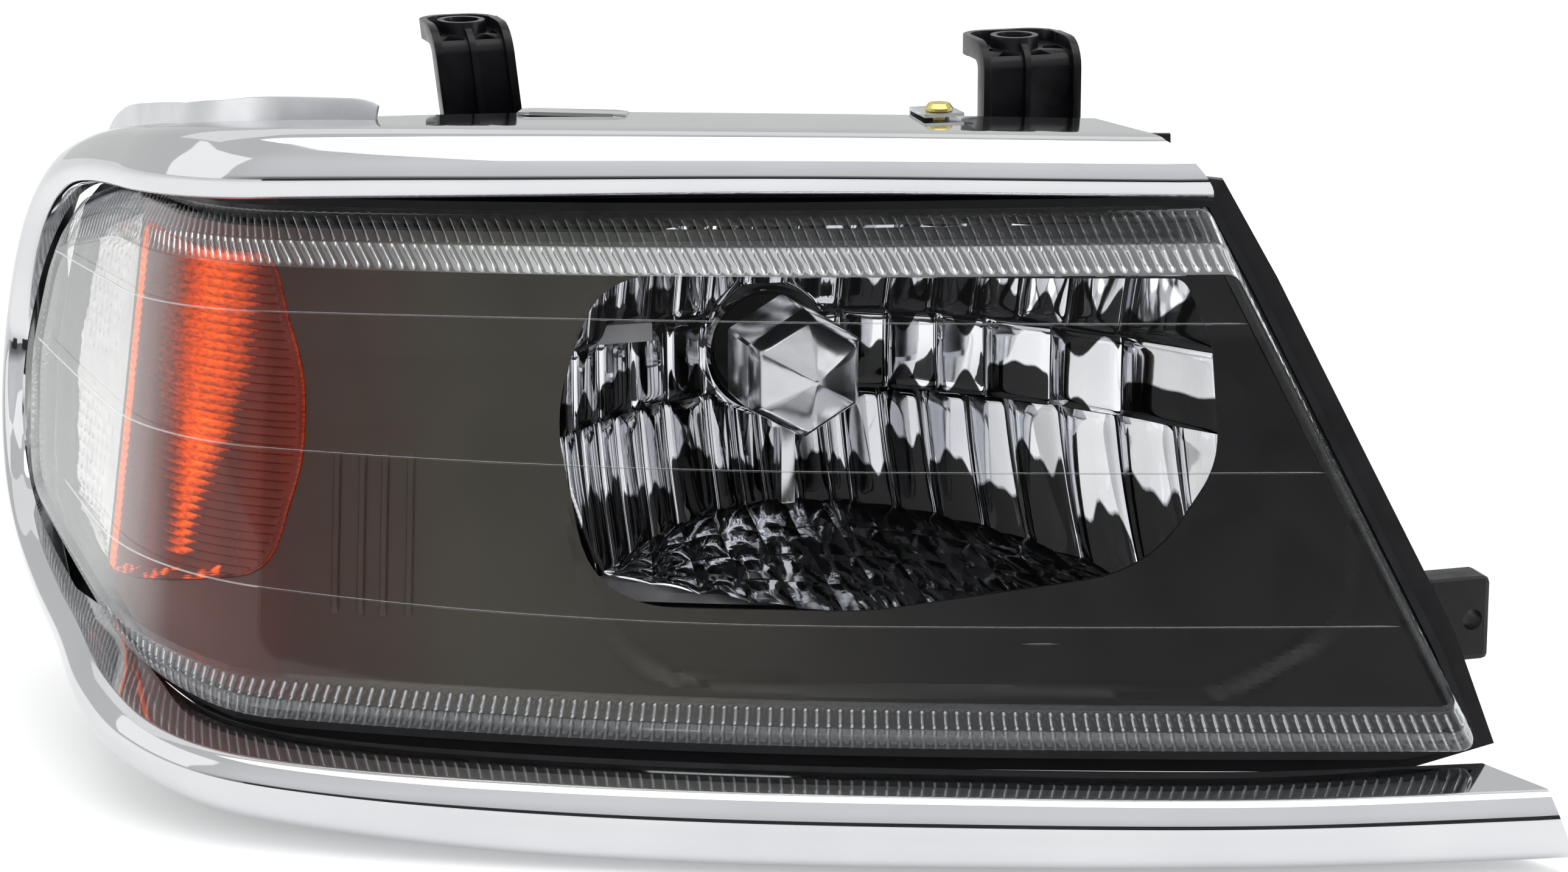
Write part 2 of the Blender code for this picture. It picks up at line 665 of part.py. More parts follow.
def bowl(name, ring, depth, centre, axis, throat, material):
    """Thin bowl from an outline on the skin down to a round hole; throat is its waist's radius and height."""
    matrix = along(axis, centre)
    front = bent(ring, depth)
    middle = sum(front, Vector()) / len(front)
    towards = (middle - Vector(centre)).normalized()
    across = Vector(axis).cross(towards).normalized()
    start = matrix.inverted().to_3x3() @ across.cross(towards)
    lead = math.atan2(start.y, start.x)
    count = len(ring)
    best = min(range(count), key=lambda i: (front[i] - middle).angle(across.cross(towards)))
    turn = 1.0 if (front[(best + 1) % count] - front[best]).dot(across) > 0 else -1.0
    if (matrix.to_3x3() @ Vector((-math.sin(lead), math.cos(lead), 0))).dot(across) < 0:
        turn = -turn
    angles = [lead + turn * 2 * math.pi * (i - best) / count for i in range(count)]

    def circle(size, height):
        return [matrix @ Vector((math.cos(a) * size, math.sin(a) * size, height)) for a in angles]

    size, height = throat
    waist = [a.lerp(b, 0.7) for a, b in zip(front, circle(size, height))]
    edge = bent(grown(ring, BOWL_WALL), depth)
    outer_waist = [a.lerp(b, 0.7) for a, b in zip(edge, circle(size + BOWL_WALL, height - 0.4))]
    rings = [front, waist, circle(BOWL_HOLE_R, 0.0), circle(BOWL_HOLE_R + BOWL_WALL, 0.0), outer_waist, edge]
    return loft(name, rings, material, capped=False)


def build_signal_reflector(silver):
    ring = grown(outline(AMBER_EDGE, AMBER_EDGE_CORNERS, 12, 8), -2.6)
    x, z = SIGNAL_SOCKET
    return bowl("signal_reflector", ring, 20.6, (x, REAR_Y - 7.5, z), (0, -1, 0), (16.0, 14.0), silver)


def build_marker_reflector(silver):
    ring = grown(outline(MARKER_EDGE, MARKER_EDGE_CORNERS, 8, 8), -1.0)
    y, z = MARKER_SOCKET
    return bowl("marker_reflector", ring, 15.0, (MARKER_WALL_X - 7.5, y, z), (-1, 0, 0), (15.0, 5.0), silver)


# ---------------------------------------------------------------- reflector group


def mask_back(x, z):
    """Y just behind the bezel mask at X, Z."""
    return 28.5 - 0.37 * x + 0.0008 * x * x + 0.14 * z


def beam_surface(x, z):
    """Depth Y of the reflecting surface at X, Z: dish, sloping floor, and a rim that clears the mask."""
    dish = REFLECTOR_BACK - ((x - BEAM_AXIS[0]) ** 2 + (z - BEAM_AXIS[1]) ** 2) / (4 * REFLECTOR_FOCUS)
    floor = 91.0 + 3.83 * (z + 28.0) - 0.0025 * (x - 4.0) ** 2
    return max(min(dish, floor), mask_back(x, z) + MASK_CLEARANCE)


def build_reflector(aluminised):
    steps_along, steps_up = 18, 12
    ring = outline(REFLECTOR_EDGE, REFLECTOR_EDGE_CORNERS, steps_along, steps_up)
    bm = bmesh.new()
    loops = []
    for wall in (0.0, REFLECTOR_WALL):
        loops.append([bm.verts.new((p.x, wall, p.y)) for p in ring])
        cap_grid(bm, loops[-1], steps_along, steps_up)
    for vert in bm.verts:
        vert.co.y += beam_surface(vert.co.x, vert.co.z)
    join_rings(bm, *loops)
    reflector = from_bmesh("reflector", bm, aluminised, split=True)
    x, z = BEAM_AXIS
    ax, az = ADJUSTER
    y, pz = PIVOT
    joined = [
        cylinder("bulb_neck", (x, REFLECTOR_BACK - 4, z), (0, 1, 0), 14, 20.5, sides=40),
        box("fork_arm", (ax - 9, 78, az - 17), (ax + 9, NUT_Y + 1.6, az - 11)),
        box("fork_plate", (ax - 9, NUT_Y - 1.6, az - 12), (ax + 9, NUT_Y + 1.6, az + 5)),
        box("left_arm", (PIVOT_X[0] + 4, y - 1.5, pz + 3), (-48, y + 4, pz + 10)),
        box("right_arm", (PIVOT_X[1] - 7.7, 24.5, pz + 12), (PIVOT_X[1] + 4, y - 3, pz + 20)),
        box("right_link", (PIVOT_X[1] - 5, y - 10, pz + 4), (PIVOT_X[1] + 5, y - 2, pz + 16)),
        cylinder("left_cup", (PIVOT_X[0], y - 9, pz), (0, 1, 0), 11, BALL_R + 3),
        cylinder("right_cup", (PIVOT_X[1], y - 9, pz), (0, 1, 0), 11, BALL_R + 3),
    ]
    united(reflector, *joined)
    removed = [
        cylinder("bulb_bore", (x, REFLECTOR_BACK - 20, z), (0, 1, 0), 40, BULB_HOLE_R, sides=40),
        box("fork_slot", (ax - 5.2, NUT_Y - 4, az - 6.4), (ax + 5.2, NUT_Y + 4, az + 12)),
        cylinder("left_bore", (PIVOT_X[0], y - 6, pz), (0, 1, 0), 20, BALL_R + GAP),
        cylinder("right_bore", (PIVOT_X[1], y - 6, pz), (0, 1, 0), 20, BALL_R + GAP),
    ]
    return cut(reflector, *removed)


def build_pivot_studs(steel):
    y, z = PIVOT
    studs = []
    for index, x in enumerate(PIVOT_X):
        profile = [(0, -BALL_R)]
        for k in range(1, 8):
            a = math.radians(-90 + 150 * k / 8)
            profile.append((BALL_R * math.cos(a), BALL_R * math.sin(a)))
        end = STUD_REACH[index] - y
        profile += [(2.2, BALL_R * 0.95), (2.2, 12), (5.5, 13), (5.5, 15), (3.0, 16), (3.0, end), (0, end)]
        name = "pivot_stud_outer" if index == 0 else "pivot_stud_inner"
        studs.append(turned(name, profile, (x, y, z), (0, 1, 0), steel, steps=16))
    return studs


def build_bulb(glass, plastic, rubber, steel, ring_plastic):
    x, z = BEAM_AXIS
    back = REFLECTOR_BACK
    tip = [
        (0, -44), (4.5, -43), (7.0, -39.5), (7.4, -36), (7.4, 0), (6.4, 0), (6.4, -36), (6.0, -39), (4.0, -42), (0, -43),
    ]
    glass_part = turned("headlight_bulb", tip, (x, back - 2, z), (0, 1, 0), glass, steps=24)
    base = [
        (0, -1.7), (15.8, -1.7), (15.8, 2.5), (13.6, 2.5), (13.6, 6.5), (15.8, 6.5), (15.8, 10.3), (20.3, 10.3),
        (20.3, 13.5), (13.8, 13.5), (13.8, 16), (0, 16),
    ]
    base_part = turned("bulb_base", base, (x, back, z), (0, 1, 0), plastic, steps=32)
    plug = box("plug_block", (x - 10.5, back + 14, z - 7), (x + 10.5, back + 36, z + 7), bevel=1.0)
    socket = box("plug_socket", (x - 9, back + 20, z - 5.5), (x + 9, back + 40, z + 5.5))
    united(base_part, plug)
    cut(base_part, socket)
    blades = [
        box("blade_%d" % k, (x + dx - 1.6, back + 19, z - 0.5), (x + dx + 1.6, back + 33, z + 0.5))
        for k, dx in enumerate((-6, 0, 6))
    ]
    united(base_part, *blades)
    seal = [(13.9, 2.8), (16.7, 2.8), (16.7, 6.2), (13.9, 6.2)]
    turned("bulb_seal", seal, (x, back, z), (0, 1, 0), rubber, steps=32)
    filaments = cylinder("bulb_filaments", (x - 3.4, 74, z), (1, 0, 0), 6.8, 0.8, steel, PARTS, sides=10)
    posts = [
        cylinder("low_beam_coil", (x - 3.4, 84, z + 1.5), (1, 0, 0), 6.8, 0.8, sides=10),
        box("filament_post_a", (x - 3.8, 73.4, z - 0.4), (x - 3.0, 103.5, z + 1.9)),
        box("filament_post_b", (x + 3.0, 73.4, z - 0.4), (x + 3.8, 103.5, z + 1.9)),
        box("filament_bridge", (x - 3.8, 98, z - 1.5), (x + 3.8, 102, z + 2.5)),
    ]
    united(filaments, *posts)
    ring_profile = [
        (21.0, 4.0), (25.5, 4.0), (25.5, 16.2), (24.0, 17.2), (15.2, 17.2), (15.2, 14.0), (21.0, 14.0),
    ]
    ring = turned("bulb_ring", ring_profile, (x, back, z), (0, 1, 0), ring_plastic, steps=40)
    grips = []
    for k in range(8):
        a = math.radians(45 * k + 22.5)
        start = (x + 25.6 * math.cos(a), back + 5, z + 25.6 * math.sin(a))
        grips.append(cylinder("ring_grip_%d" % k, start, (0, 1, 0), 10, 1.8, sides=10))
    united(ring, *grips)
    return glass_part, base_part, ring


def build_shield(aluminised):
    x, z = BEAM_AXIS
    sides = 6
    bm = bmesh.new()
    radius = 19.5

    def hexagon(size, y):
        angles = [math.radians(90 + 60 * k) for k in range(sides)]
        return [bm.verts.new((x - 2 + size * math.cos(a), y, z + 2 + size * math.sin(a))) for a in angles]

    loops = [
        hexagon(radius, 50.0), hexagon(radius - 1, 79.0), hexagon(radius - 2.6, 79.0), hexagon(radius - 1.6, 51.5),
    ]
    for first, second in zip(loops, loops[1:]):
        join_rings(bm, first, second)
    nose = bm.verts.new((x - 2, 43.5, z + 2))
    hollow = bm.verts.new((x - 2, 45.8, z + 2))
    for k in range(sides):
        bm.faces.new((loops[0][k], loops[0][(k + 1) % sides], nose))
        bm.faces.new((loops[3][k], loops[3][(k + 1) % sides], hollow))
    shield = from_bmesh("bulb_shield", bm, aluminised, sharp=20.0)
    leg = box("shield_leg", (x - 4, 71, -24), (x, 77, 4))
    return united(shield, leg)


# ---------------------------------------------------------------- adjuster, sockets and boot


def build_adjuster(steel, nylon):
    x, z = ADJUSTER
    screw_profile = [(0, -62), (2.2, -62), (3.0, -60), (3.0, -5), (3.3, -5), (3.3, 4), (0, 4)]
    screw = turned("adjuster_screw", screw_profile, (x, REAR_Y, z), (0, 1, 0), steel, steps=20)
    bm = bmesh.new()
    teeth = 16
    ring = []
    for k in range(teeth * 2):
        a = math.radians(180.0 * k / teeth)
        size = 9.5 if k % 2 else 7.8
        ring.append((x + size * math.cos(a), z + size * math.sin(a)))
    low = [bm.verts.new((px, REAR_Y + 4.4, pz)) for px, pz in ring]
    high = [bm.verts.new((px, REAR_Y + 8.0, pz)) for px, pz in ring]
    bm.faces.new(low)
    bm.faces.new(high)
    join_rings(bm, low, high)
    gear = from_bmesh("adjuster_gear", bm, nylon, sharp=20.0, origin=(x, REAR_Y, z))
    united(gear, cylinder("gear_hex", (x, REAR_Y + 7, z), (0, 1, 0), 7, 5.0, sides=6))
    nut_profile = [(3.4, -6), (7.5, -6), (7.5, -2.4), (4.4, -2.4), (4.4, 2.4), (7.5, 2.4), (7.5, 6), (3.4, 6)]
    nut = turned("adjuster_nut", nut_profile, (x, NUT_Y, z), (0, 1, 0), nylon, steps=24)
    return screw, gear, nut


def build_socket(prefix, start, axis, plastic, rubber, glass):
    """Twist-in bulb socket: start is the centre of the hole's outer face, axis points outwards."""
    flange = [
        (0, -13), (8, -13), (8, -6), (12.2, -6), (12.2, 4.2), (17.5, 4.2), (17.5, 7), (11, 8), (11, 17), (0, 17),
    ]
    socket = turned(prefix + "_socket", flange, start, axis, plastic, steps=24)
    gasket = [(12.6, 3.3), (16.5, 3.3), (16.5, 3.9), (12.6, 3.9)]
    turned(prefix + "_gasket", gasket, start, axis, rubber, steps=24)
    bulb = [(0, -34), (3.5, -33), (5.0, -30), (5.0, -13.3), (0, -13.3)]
    turned(prefix + "_bulb", bulb, start, axis, glass, steps=16)
    return socket


def build_boot(rubber):
    x, z = BEAM_AXIS
    profile = [
        (BOOT_R + 3.6, -5.0), (BOOT_R + 5.6, -5.0), (BOOT_R + 5.6, 3.0), (BOOT_R - 2, 5.0), (BOOT_R - 6, 2.0),
        (28.5, 6.0), (27.2, 6.0), (27.2, 3.8), (BOOT_R - 6.5, -0.5), (BOOT_R - 2, 2.6), (BOOT_R + 3.6, 0.5),
    ]
    return turned("bulb_boot", profile, (x, REAR_Y + 7.0 + GAP, z), (0, 1, 0), rubber, steps=40)


# ---------------------------------------------------------------- mounts and small hardware


def swept(name, profile, path, material=None, collection=CUTTERS):
    """Closed (x, height) profile swept along (y, z) points, its height measured outwards, forwards and up."""
    bm = bmesh.new()
    rows = []
    for k, (y, z) in enumerate(path):
        ahead, behind = path[min(k + 1, len(path) - 1)], path[max(k - 1, 0)]
        run = Vector((ahead[0] - behind[0], ahead[1] - behind[1])).normalized()
        rows.append([bm.verts.new((x, y - run.y * h, z + run.x * h)) for x, h in profile])
    for first, second in zip(rows, rows[1:]):
        join_rings(bm, first, second)
    bm.faces.new(rows[0])
    bm.faces.new(rows[-1])
    return from_bmesh(name, bm, material, collection)


def prism_z(name, outlines, low, high):
    """Polygons in X and Y, extruded along Z into one cutter."""
    bm = bmesh.new()
    for points in outlines:
        under = [bm.verts.new((x, y, low)) for x, y in points]
        over = [bm.verts.new((x, y, high)) for x, y in points]
        bm.faces.new(under)
        bm.faces.new(over)
        join_rings(bm, under, over)
    return from_bmesh(name, bm, None, CUTTERS)


def corner_arc(x, y, radius, start):
    """Points of a quarter circle about (x, y), clockwise from the angle start."""
    angles = [math.radians(start - 90.0 * k / 6) for k in range(7)]
    return [(x + radius * math.cos(a), y + radius * math.sin(a)) for a in angles]


def leaning(obj, low, high, lean):
    """Lattice that leans obj sideways: nothing moves at the top of the box, and the foot moves most."""
    data = bpy.data.lattices.new(obj.name + "_lean")
    for axis in "uvw":
        setattr(data, "points_" + axis, 2)
        setattr(data, "interpolation_type_" + axis, "KEY_LINEAR")
    size = Vector(high) - Vector(low)
    for point in data.points:
        if point.co.z < 0:
            point.co_deform.x += lean * size.z / size.x
    cage = bpy.data.objects.new(data.name, data)
    bpy.data.collections[CUTTERS].objects.link(cage)
    cage.location = (Vector(low) + Vector(high)) * 0.5 * MM
    cage.scale = size * MM
    obj.modifiers.new("lean", "LATTICE").object = cage


def build_bracket(name, left, right, middle, front, top, lean, plastic):
    """Upper bracket: sheet with side flanges and a rib, bent over at the top into a pad with a ring boss."""
    rise, bend, foot, deep = 3.6, 5.0, BRACKET_FOOT_Z, 2.2
    corner, rear, rim = 9.0, front + BRACKET_DEPTH, BRACKET_RIM
    face, level, ring_y = front + rise, top - rise, front + BRACKET_RING_Y
    profile = (
        (left, -deep), (right, -deep), (right, rise), (right - rim, rise), (right - rim, 0), (middle + 1, 0),
        (middle + 1, 2.4), (middle - 1, 2.4), (middle - 1, 0), (left + rim, 0), (left + rim, rise), (left, rise),
    )
    path = [(face, foot)]
    for k in range(7):
        a = math.radians(15.0 * k)
        path.append((face + bend * (1 - math.cos(a)), level - bend * (1 - math.sin(a))))
    path.append((rear - rim / 2, level))
    bracket = swept(name, profile, path, plastic, PARTS)
    arcs = (rear - corner, corner - rim / 2)
    left_arc = corner_arc(left + corner, *arcs, 180.0)
    right_arc = corner_arc(right - corner, *arcs, 90.0)
    trims = prism_z(name + "_corners", (
        [(left - 1, rear - corner)] + left_arc + [(left + corner, rear + 1), (left - 1, rear + 1)],
        [(right - corner, rear + 1)] + right_arc + [(right + 1, rear - corner), (right + 1, rear + 1)],
    ), top - 12, top + 2)
    inset = 0.2
    outer = corner_arc(left + corner, rear - corner, corner - inset, 180.0)
    outer += corner_arc(right - corner, rear - corner, corner - inset, 90.0)
    inner = corner_arc(left + corner, rear - corner, corner - rim, 180.0)
    inner += corner_arc(right - corner, rear - corner, corner - rim, 90.0)
    begin = rear - corner - 3
    shoulders = [(right - inset, begin), (right - rim - inset, begin)]
    wall = [(left + inset, begin)] + outer + shoulders + inner[::-1] + [(left + rim + inset, begin)]
    half_left, half_right = middle - left - rim - 0.3, right - rim - 0.3 - middle
    openings = []
    for side, half in ((-1, half_left), (1, half_right)):
        for shape in (
            ((min(half, 8.4), -9.2), (1.8, -9.2), (1.8, -8.3), (5.4, -6.9)),
            ((half, -7.0), (7.1, -5.2), (8.7, -1.0), (half, -1.0)),
            ((6.8, 8.6), (6.3, 6.2), (1.8, 8.7), (1.8, 9.8), (5.0, 9.8)),
        ):
            points = [(middle + side * x, ring_y + y) for x, y in shape]
            openings.append(points)
    pieces = [
        prism_z(name + "_wall", (wall,), level - deep - inset, top - inset),
        box(name + "_foot", (left + 1, face + 0.3, foot + inset), (right - 1, front + 24, foot + 2.5)),
        cylinder(name + "_boss", (middle, ring_y, level - 3), (0, 0, 1), top - level + 3, 7.2),
    ]
    webs = prism_z(name + "_openings", openings, top - 9, top + 2)
    cut(bracket, trims)
    united(bracket, *pieces)
    bore = cylinder(name + "_bore", (middle, ring_y, top - 12), (0, 0, 1), 20, 5.4)
    under = cylinder(name + "_screw_hole", (middle, front + 15, foot - 4), (0, 0, 1), 10, SCREW_R + 2 * GAP)
    cut(bracket, bore, webs, under)
    if lean:
        leaning(bracket, (left, front, foot), (right, rear, top), lean)


def build_side_mount(plastic):
    mount = box("side_mount", (SIDE_MOUNT_X, 4, -71), (205, 18, -45), plastic, PARTS, bevel=2.0)
    return cut(mount, cylinder("side_mount_hole", (199, 0, -58), (0, 1, 0), 24, 3.2))


def screw_profile(head_r, head_h, shank_r, length):
    return [
        (0, -length), (shank_r, -length), (shank_r, 0), (head_r, 0), (head_r, 0.8),
        (head_r * 0.75, head_h * 0.8), (0, head_h),
    ]


def build_hardware(zinc, steel, rubber):
    x, y = TRIM_SCREW
    turned("trim_screw", screw_profile(4.0, 2.6, SCREW_R, 14), (x, y, SHELF_Z + 2.3), (0, 0, 1), zinc, steps=20)
    clip = box("trim_nut_clip", (x - 6, y - 5, SHELF_Z - 2.7), (x + 6, y + 9, SHELF_Z + 2), steel, PARTS)
    mouth = box("clip_mouth", (x - 8, y - 8, SHELF_Z - 1.7), (x + 8, y + 8, SHELF_Z + 1))
    cut(clip, mouth, cylinder("clip_bore", (x, y, SHELF_Z - 6), (0, 0, 1), 12, SCREW_R + GAP))
    top = BRACKET_FOOT_Z + 2.5 + GAP
    for name, (bx, by) in zip(("bracket_screw_outer", "bracket_screw_inner"), BRACKET_SCREWS):
        turned(name, screw_profile(4.2, 2.8, SCREW_R, 13), (bx, by, top), (0, 0, 1), steel, steps=16)
    tube = [
        (VENT_R, -4), (VENT_R, GAP), (6.5, GAP), (6.5, 2.5), (VENT_R, 2.5), (VENT_R, 14), (2.4, 14), (2.4, -4),
    ]
    turned("vent_tube", tube, (VENT[0], REAR_Y, VENT[1]), (0, 1, 0), rubber, steps=20)


def hinged(name, point, children):
    """Empty on the joint axis that carries the nodes of one moving body."""
    pivot = bpy.data.objects.new(name, None)
    bpy.data.collections[PARTS].objects.link(pivot)
    pivot.location = Vector(point) * MM
    for child in children:
        node = bpy.data.objects[child]
        node.parent = pivot
        node.location -= pivot.location


def main():
    clear_scene()
    plastic = paint("black_plastic", (0.012, 0.012, 0.014), 0.42)
    clear = paint("clear_lens", (0.92, 0.94, 0.96), 0.03, alpha=0.3)
    butyl = paint("butyl", (0.03, 0.03, 0.03), 0.8)
    chrome = paint("chrome", (0.82, 0.83, 0.85), 0.05, 1.0)
    satin = paint("satin_grey", (0.055, 0.052, 0.05), 0.4, 0.3)
    amber = paint("amber", (0.95, 0.2, 0.01), 0.08, alpha=0.7)
    silver = paint("silver", (0.8, 0.81, 0.82), 0.15, 1.0)
    glass = paint("bulb_glass", (0.95, 0.95, 0.95), 0.02, alpha=0.35)
    rubber = paint("rubber", (0.02, 0.02, 0.02), 0.75)
    steel = paint("steel", (0.6, 0.6, 0.6), 0.3, 1.0)
    zinc = paint("yellow_zinc", (0.75, 0.6, 0.15), 0.25, 1.0)
    nylon = paint("nylon", (0.85, 0.85, 0.8), 0.5)
    grey = paint("grey_plastic", (0.25, 0.25, 0.26), 0.5)

    build_lens(clear)
    build_seal(butyl)
    build_housing(plastic)
    build_bezel(chrome)
    build_mask(satin)
    build_amber(amber)
    build_signal_reflector(silver)
    build_marker_reflector(silver)
    build_reflector(silver)
    build_shield(silver)
    build_pivot_studs(steel)
    build_bulb(glass, plastic, rubber, steel, grey)
    build_adjuster(steel, nylon)
    sx, sz = SIGNAL_SOCKET
    my, mz = MARKER_SOCKET
    build_socket("signal", (sx, REAR_Y, sz), (0, 1, 0), grey, rubber, glass)
    build_socket("marker", (MARKER_WALL_X, my, mz), (1, 0, 0), grey, rubber, glass)
    build_boot(rubber)
    build_bracket("bracket_outer", *BRACKET_OUTER, plastic)
    build_bracket("bracket_inner", *BRACKET_INNER, plastic)
    build_side_mount(plastic)
    build_hardware(zinc, steel, rubber)
    group = ("reflector", "bulb_shield", "headlight_bulb", "bulb_base", "bulb_filaments", "bulb_seal", "bulb_ring")
    hinged("reflector_pivot", (0, *PIVOT), group)
    hinged("adjuster_pivot", (ADJUSTER[0], REAR_Y, ADJUSTER[1]), ("adjuster_screw", "adjuster_gear"))
    for obj in bpy.data.objects:
        if obj.parent is None:
            obj.location -= Vector(FRAME_ORIGIN) * MM


main()
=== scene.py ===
"""Detailed look of the wrap-round headlight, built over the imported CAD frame.

Points are given as lamp millimetres (+X inboard, +Y rearwards, +Z up) and moved into the frame's metres.
"""
import math
import random

import bmesh
import bpy
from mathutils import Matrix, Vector

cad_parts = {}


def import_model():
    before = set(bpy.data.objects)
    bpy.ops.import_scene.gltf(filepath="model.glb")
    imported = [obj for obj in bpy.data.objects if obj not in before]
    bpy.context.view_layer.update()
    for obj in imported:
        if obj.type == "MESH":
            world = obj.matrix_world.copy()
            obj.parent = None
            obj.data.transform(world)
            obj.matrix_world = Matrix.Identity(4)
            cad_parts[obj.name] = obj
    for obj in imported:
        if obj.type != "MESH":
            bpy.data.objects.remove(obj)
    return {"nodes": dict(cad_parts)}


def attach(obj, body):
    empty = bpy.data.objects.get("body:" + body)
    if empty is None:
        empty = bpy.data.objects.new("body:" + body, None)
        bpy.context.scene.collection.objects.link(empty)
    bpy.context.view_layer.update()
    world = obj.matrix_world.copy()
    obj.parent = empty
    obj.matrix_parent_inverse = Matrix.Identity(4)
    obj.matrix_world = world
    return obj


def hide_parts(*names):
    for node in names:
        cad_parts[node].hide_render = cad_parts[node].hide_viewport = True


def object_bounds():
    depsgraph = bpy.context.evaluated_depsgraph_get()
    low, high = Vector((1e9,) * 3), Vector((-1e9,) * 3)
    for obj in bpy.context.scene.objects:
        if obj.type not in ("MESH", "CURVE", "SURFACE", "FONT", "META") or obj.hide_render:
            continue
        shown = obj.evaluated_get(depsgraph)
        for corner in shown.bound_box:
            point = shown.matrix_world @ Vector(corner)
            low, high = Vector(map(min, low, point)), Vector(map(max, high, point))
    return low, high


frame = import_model()
CAD_BOX = [list(corner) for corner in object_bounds()]
FRAME_ORIGIN = Vector((82.8, 75.5, 114.0))
HOUSING = "housing"

SKIN_START = (205.0, -62.0)
SKIN_HEADING = math.radians(13.8)
SKIN_ARCS = ((200.0, 2500.0), (185.0, 870.0), (82.0, 90.0), (160.0, 3000.0))
SKIN_LEAN = math.tan(math.radians(8.0))
SKIN_BASE_Z = -80.0
BEAM = (7.0, 17.5)
BULB_HOLE = 18.5
ARC_STEPS = 16

# --- layout helpers


def world(p):
    return (Vector(p) - FRAME_ORIGIN) * 0.001


def skin_plan(s):
    """Plan point and heading of the lens skin, s mm from its inboard end."""
    x, y = SKIN_START
    heading = SKIN_HEADING
    if s <= 0:
        return x - s * math.cos(heading), y + s * math.sin(heading), heading
    for index, (length, radius) in enumerate(SKIN_ARCS):
        run = s if index == len(SKIN_ARCS) - 1 else min(s, length)
        turn = run / radius
        x -= radius * (math.sin(heading + turn) - math.sin(heading))
        y += radius * (math.cos(heading) - math.cos(heading + turn))
        heading += turn
        s -= run
        if s <= 0:
            break
    return x, y, heading


def skin(s, z, d):
    """Point at height z on the leaning skin, d mm behind its face."""
    x, y, heading = skin_plan(s)
    depth = d + SKIN_LEAN * (z - SKIN_BASE_Z)
    return Vector((x + math.sin(heading) * depth, y + math.cos(heading) * depth, z))


def spaced(points, count):
    """The polyline resampled into count equal steps."""
    points = [Vector(p) for p in points]
    lengths = [0.0]
    for a, b in zip(points, points[1:]):
        lengths.append(lengths[-1] + (b - a).length)
    result, at = [], 0
    for k in range(count + 1):
        target = lengths[-1] * k / count
        while at < len(points) - 2 and lengths[at + 1] < target:
            at += 1
        span = max(lengths[at + 1] - lengths[at], 1e-9)
        result.append(points[at].lerp(points[at + 1], min((target - lengths[at]) / span, 1.0)))
    return result


def corner_arc(here, before, after, reach, steps):
    start, end = here + before.normalized() * reach, here + after.normalized() * reach
    arc = []
    for k in range(steps + 1):
        t = k / steps
        arc.append(start * (1 - t) ** 2 + here * 2 * t * (1 - t) + end * t * t)
    return arc


def rounded(corners, arc_steps=ARC_STEPS):
    """Closed outline with each corner rounded by its third number, and the index of each arc's middle."""
    points, middles = [], []
    for i, (x, y, radius) in enumerate(corners):
        here = Vector((x, y))
        before = Vector(corners[i - 1][:2]) - here
        after = Vector(corners[(i + 1) % len(corners)][:2]) - here
        half = before.angle(after) / 2
        reach = min(radius / math.tan(half), 0.48 * before.length, 0.48 * after.length)
        middles.append(len(points) + arc_steps // 2)
        points += corner_arc(here, before, after, reach, arc_steps)
    return points, middles


def outline(corners, splits, steps):
    """Rounded outline resampled into four runs that start at the corners named by splits."""
    points, middles = rounded(corners)
    ring = []
    for k, number in enumerate(steps):
        first, last = middles[splits[k]], middles[splits[(k + 1) % 4]]
        run = [points[(first + i) % len(points)] for i in range((last - first) % len(points) + 1)]
        ring += spaced(run, number)[:-1]
    return ring


def grown(ring, amount):
    """The ring moved outwards by amount (inwards if negative)."""
    count = len(ring)
    area = sum(a.x * b.y - b.x * a.y for a, b in zip(ring, ring[1:] + ring[:1]))
    side = -1.0 if area > 0 else 1.0
    result = []
    for i, point in enumerate(ring):
        run = (ring[(i + 1) % count] - ring[i - 1]).normalized()
        result.append(point + Vector((-run.y, run.x)) * amount * side)
    return result


def curve_through(knots, count):
    """Catmull-Rom curve through the knots, in count steps."""
    knots = [Vector(k) for k in knots]
    padded = [knots[0] * 2 - knots[1]] + knots + [knots[-1] * 2 - knots[-2]]
    result = []
    for i in range(count + 1):
        u = i / count * (len(knots) - 1)
        k = min(int(u), len(knots) - 2)
        t = u - k
        a, b, c, d = padded[k:k + 4]
        square, cube = (a * 2 - b * 5 + c * 4 - d) * t * t, (b * 3 - a - c * 3 + d) * t ** 3
        result.append((b * 2 + (c - a) * t + square + cube) / 2)
    return result


def clamped(value):
    return max(0.0, min(1.0, value))


def smooth(low, high, value):
    t = clamped((value - low) / (high - low))
    return t * t * (3 - 2 * t)


def soft_polyline(corners, steps=5):
    """Open polyline with each inner corner rounded by its third number."""
    points = [Vector(corners[0][:2])]
    for k in range(1, len(corners) - 1):
        here = Vector(corners[k][:2])
        before, after = Vector(corners[k - 1][:2]) - here, Vector(corners[k + 1][:2]) - here
        reach = min(corners[k][2], 0.46 * before.length, 0.46 * after.length)
        points += corner_arc(here, before, after, reach, steps)
    points.append(Vector(corners[-1][:2]))
    return points


# --- mesh helpers

# body and slot of the pieces that stand in for each CAD node
PLACES = {
    "chrome_bezel": (HOUSING, "chrome"), "lens": (HOUSING, "clear_lens"), "amber_lens": (HOUSING, "amber"),
    "bezel_mask": (HOUSING, "satin_grey"), "marker_reflector": (HOUSING, "silver"),
    "bracket_outer": (HOUSING, "black_plastic"), "bracket_inner": (HOUSING, "black_plastic"),
    "reflector": ("reflector", "silver"), "bulb_shield": ("reflector", "silver"),
}


def add_object(name, data):
    item = bpy.data.objects.new(name, data)
    bpy.context.scene.collection.objects.link(item)
    return item


def mesh_object(name, bm):
    mesh = bpy.data.meshes.new(name)
    bm.to_mesh(mesh)
    bm.free()
    return add_object(name, mesh)


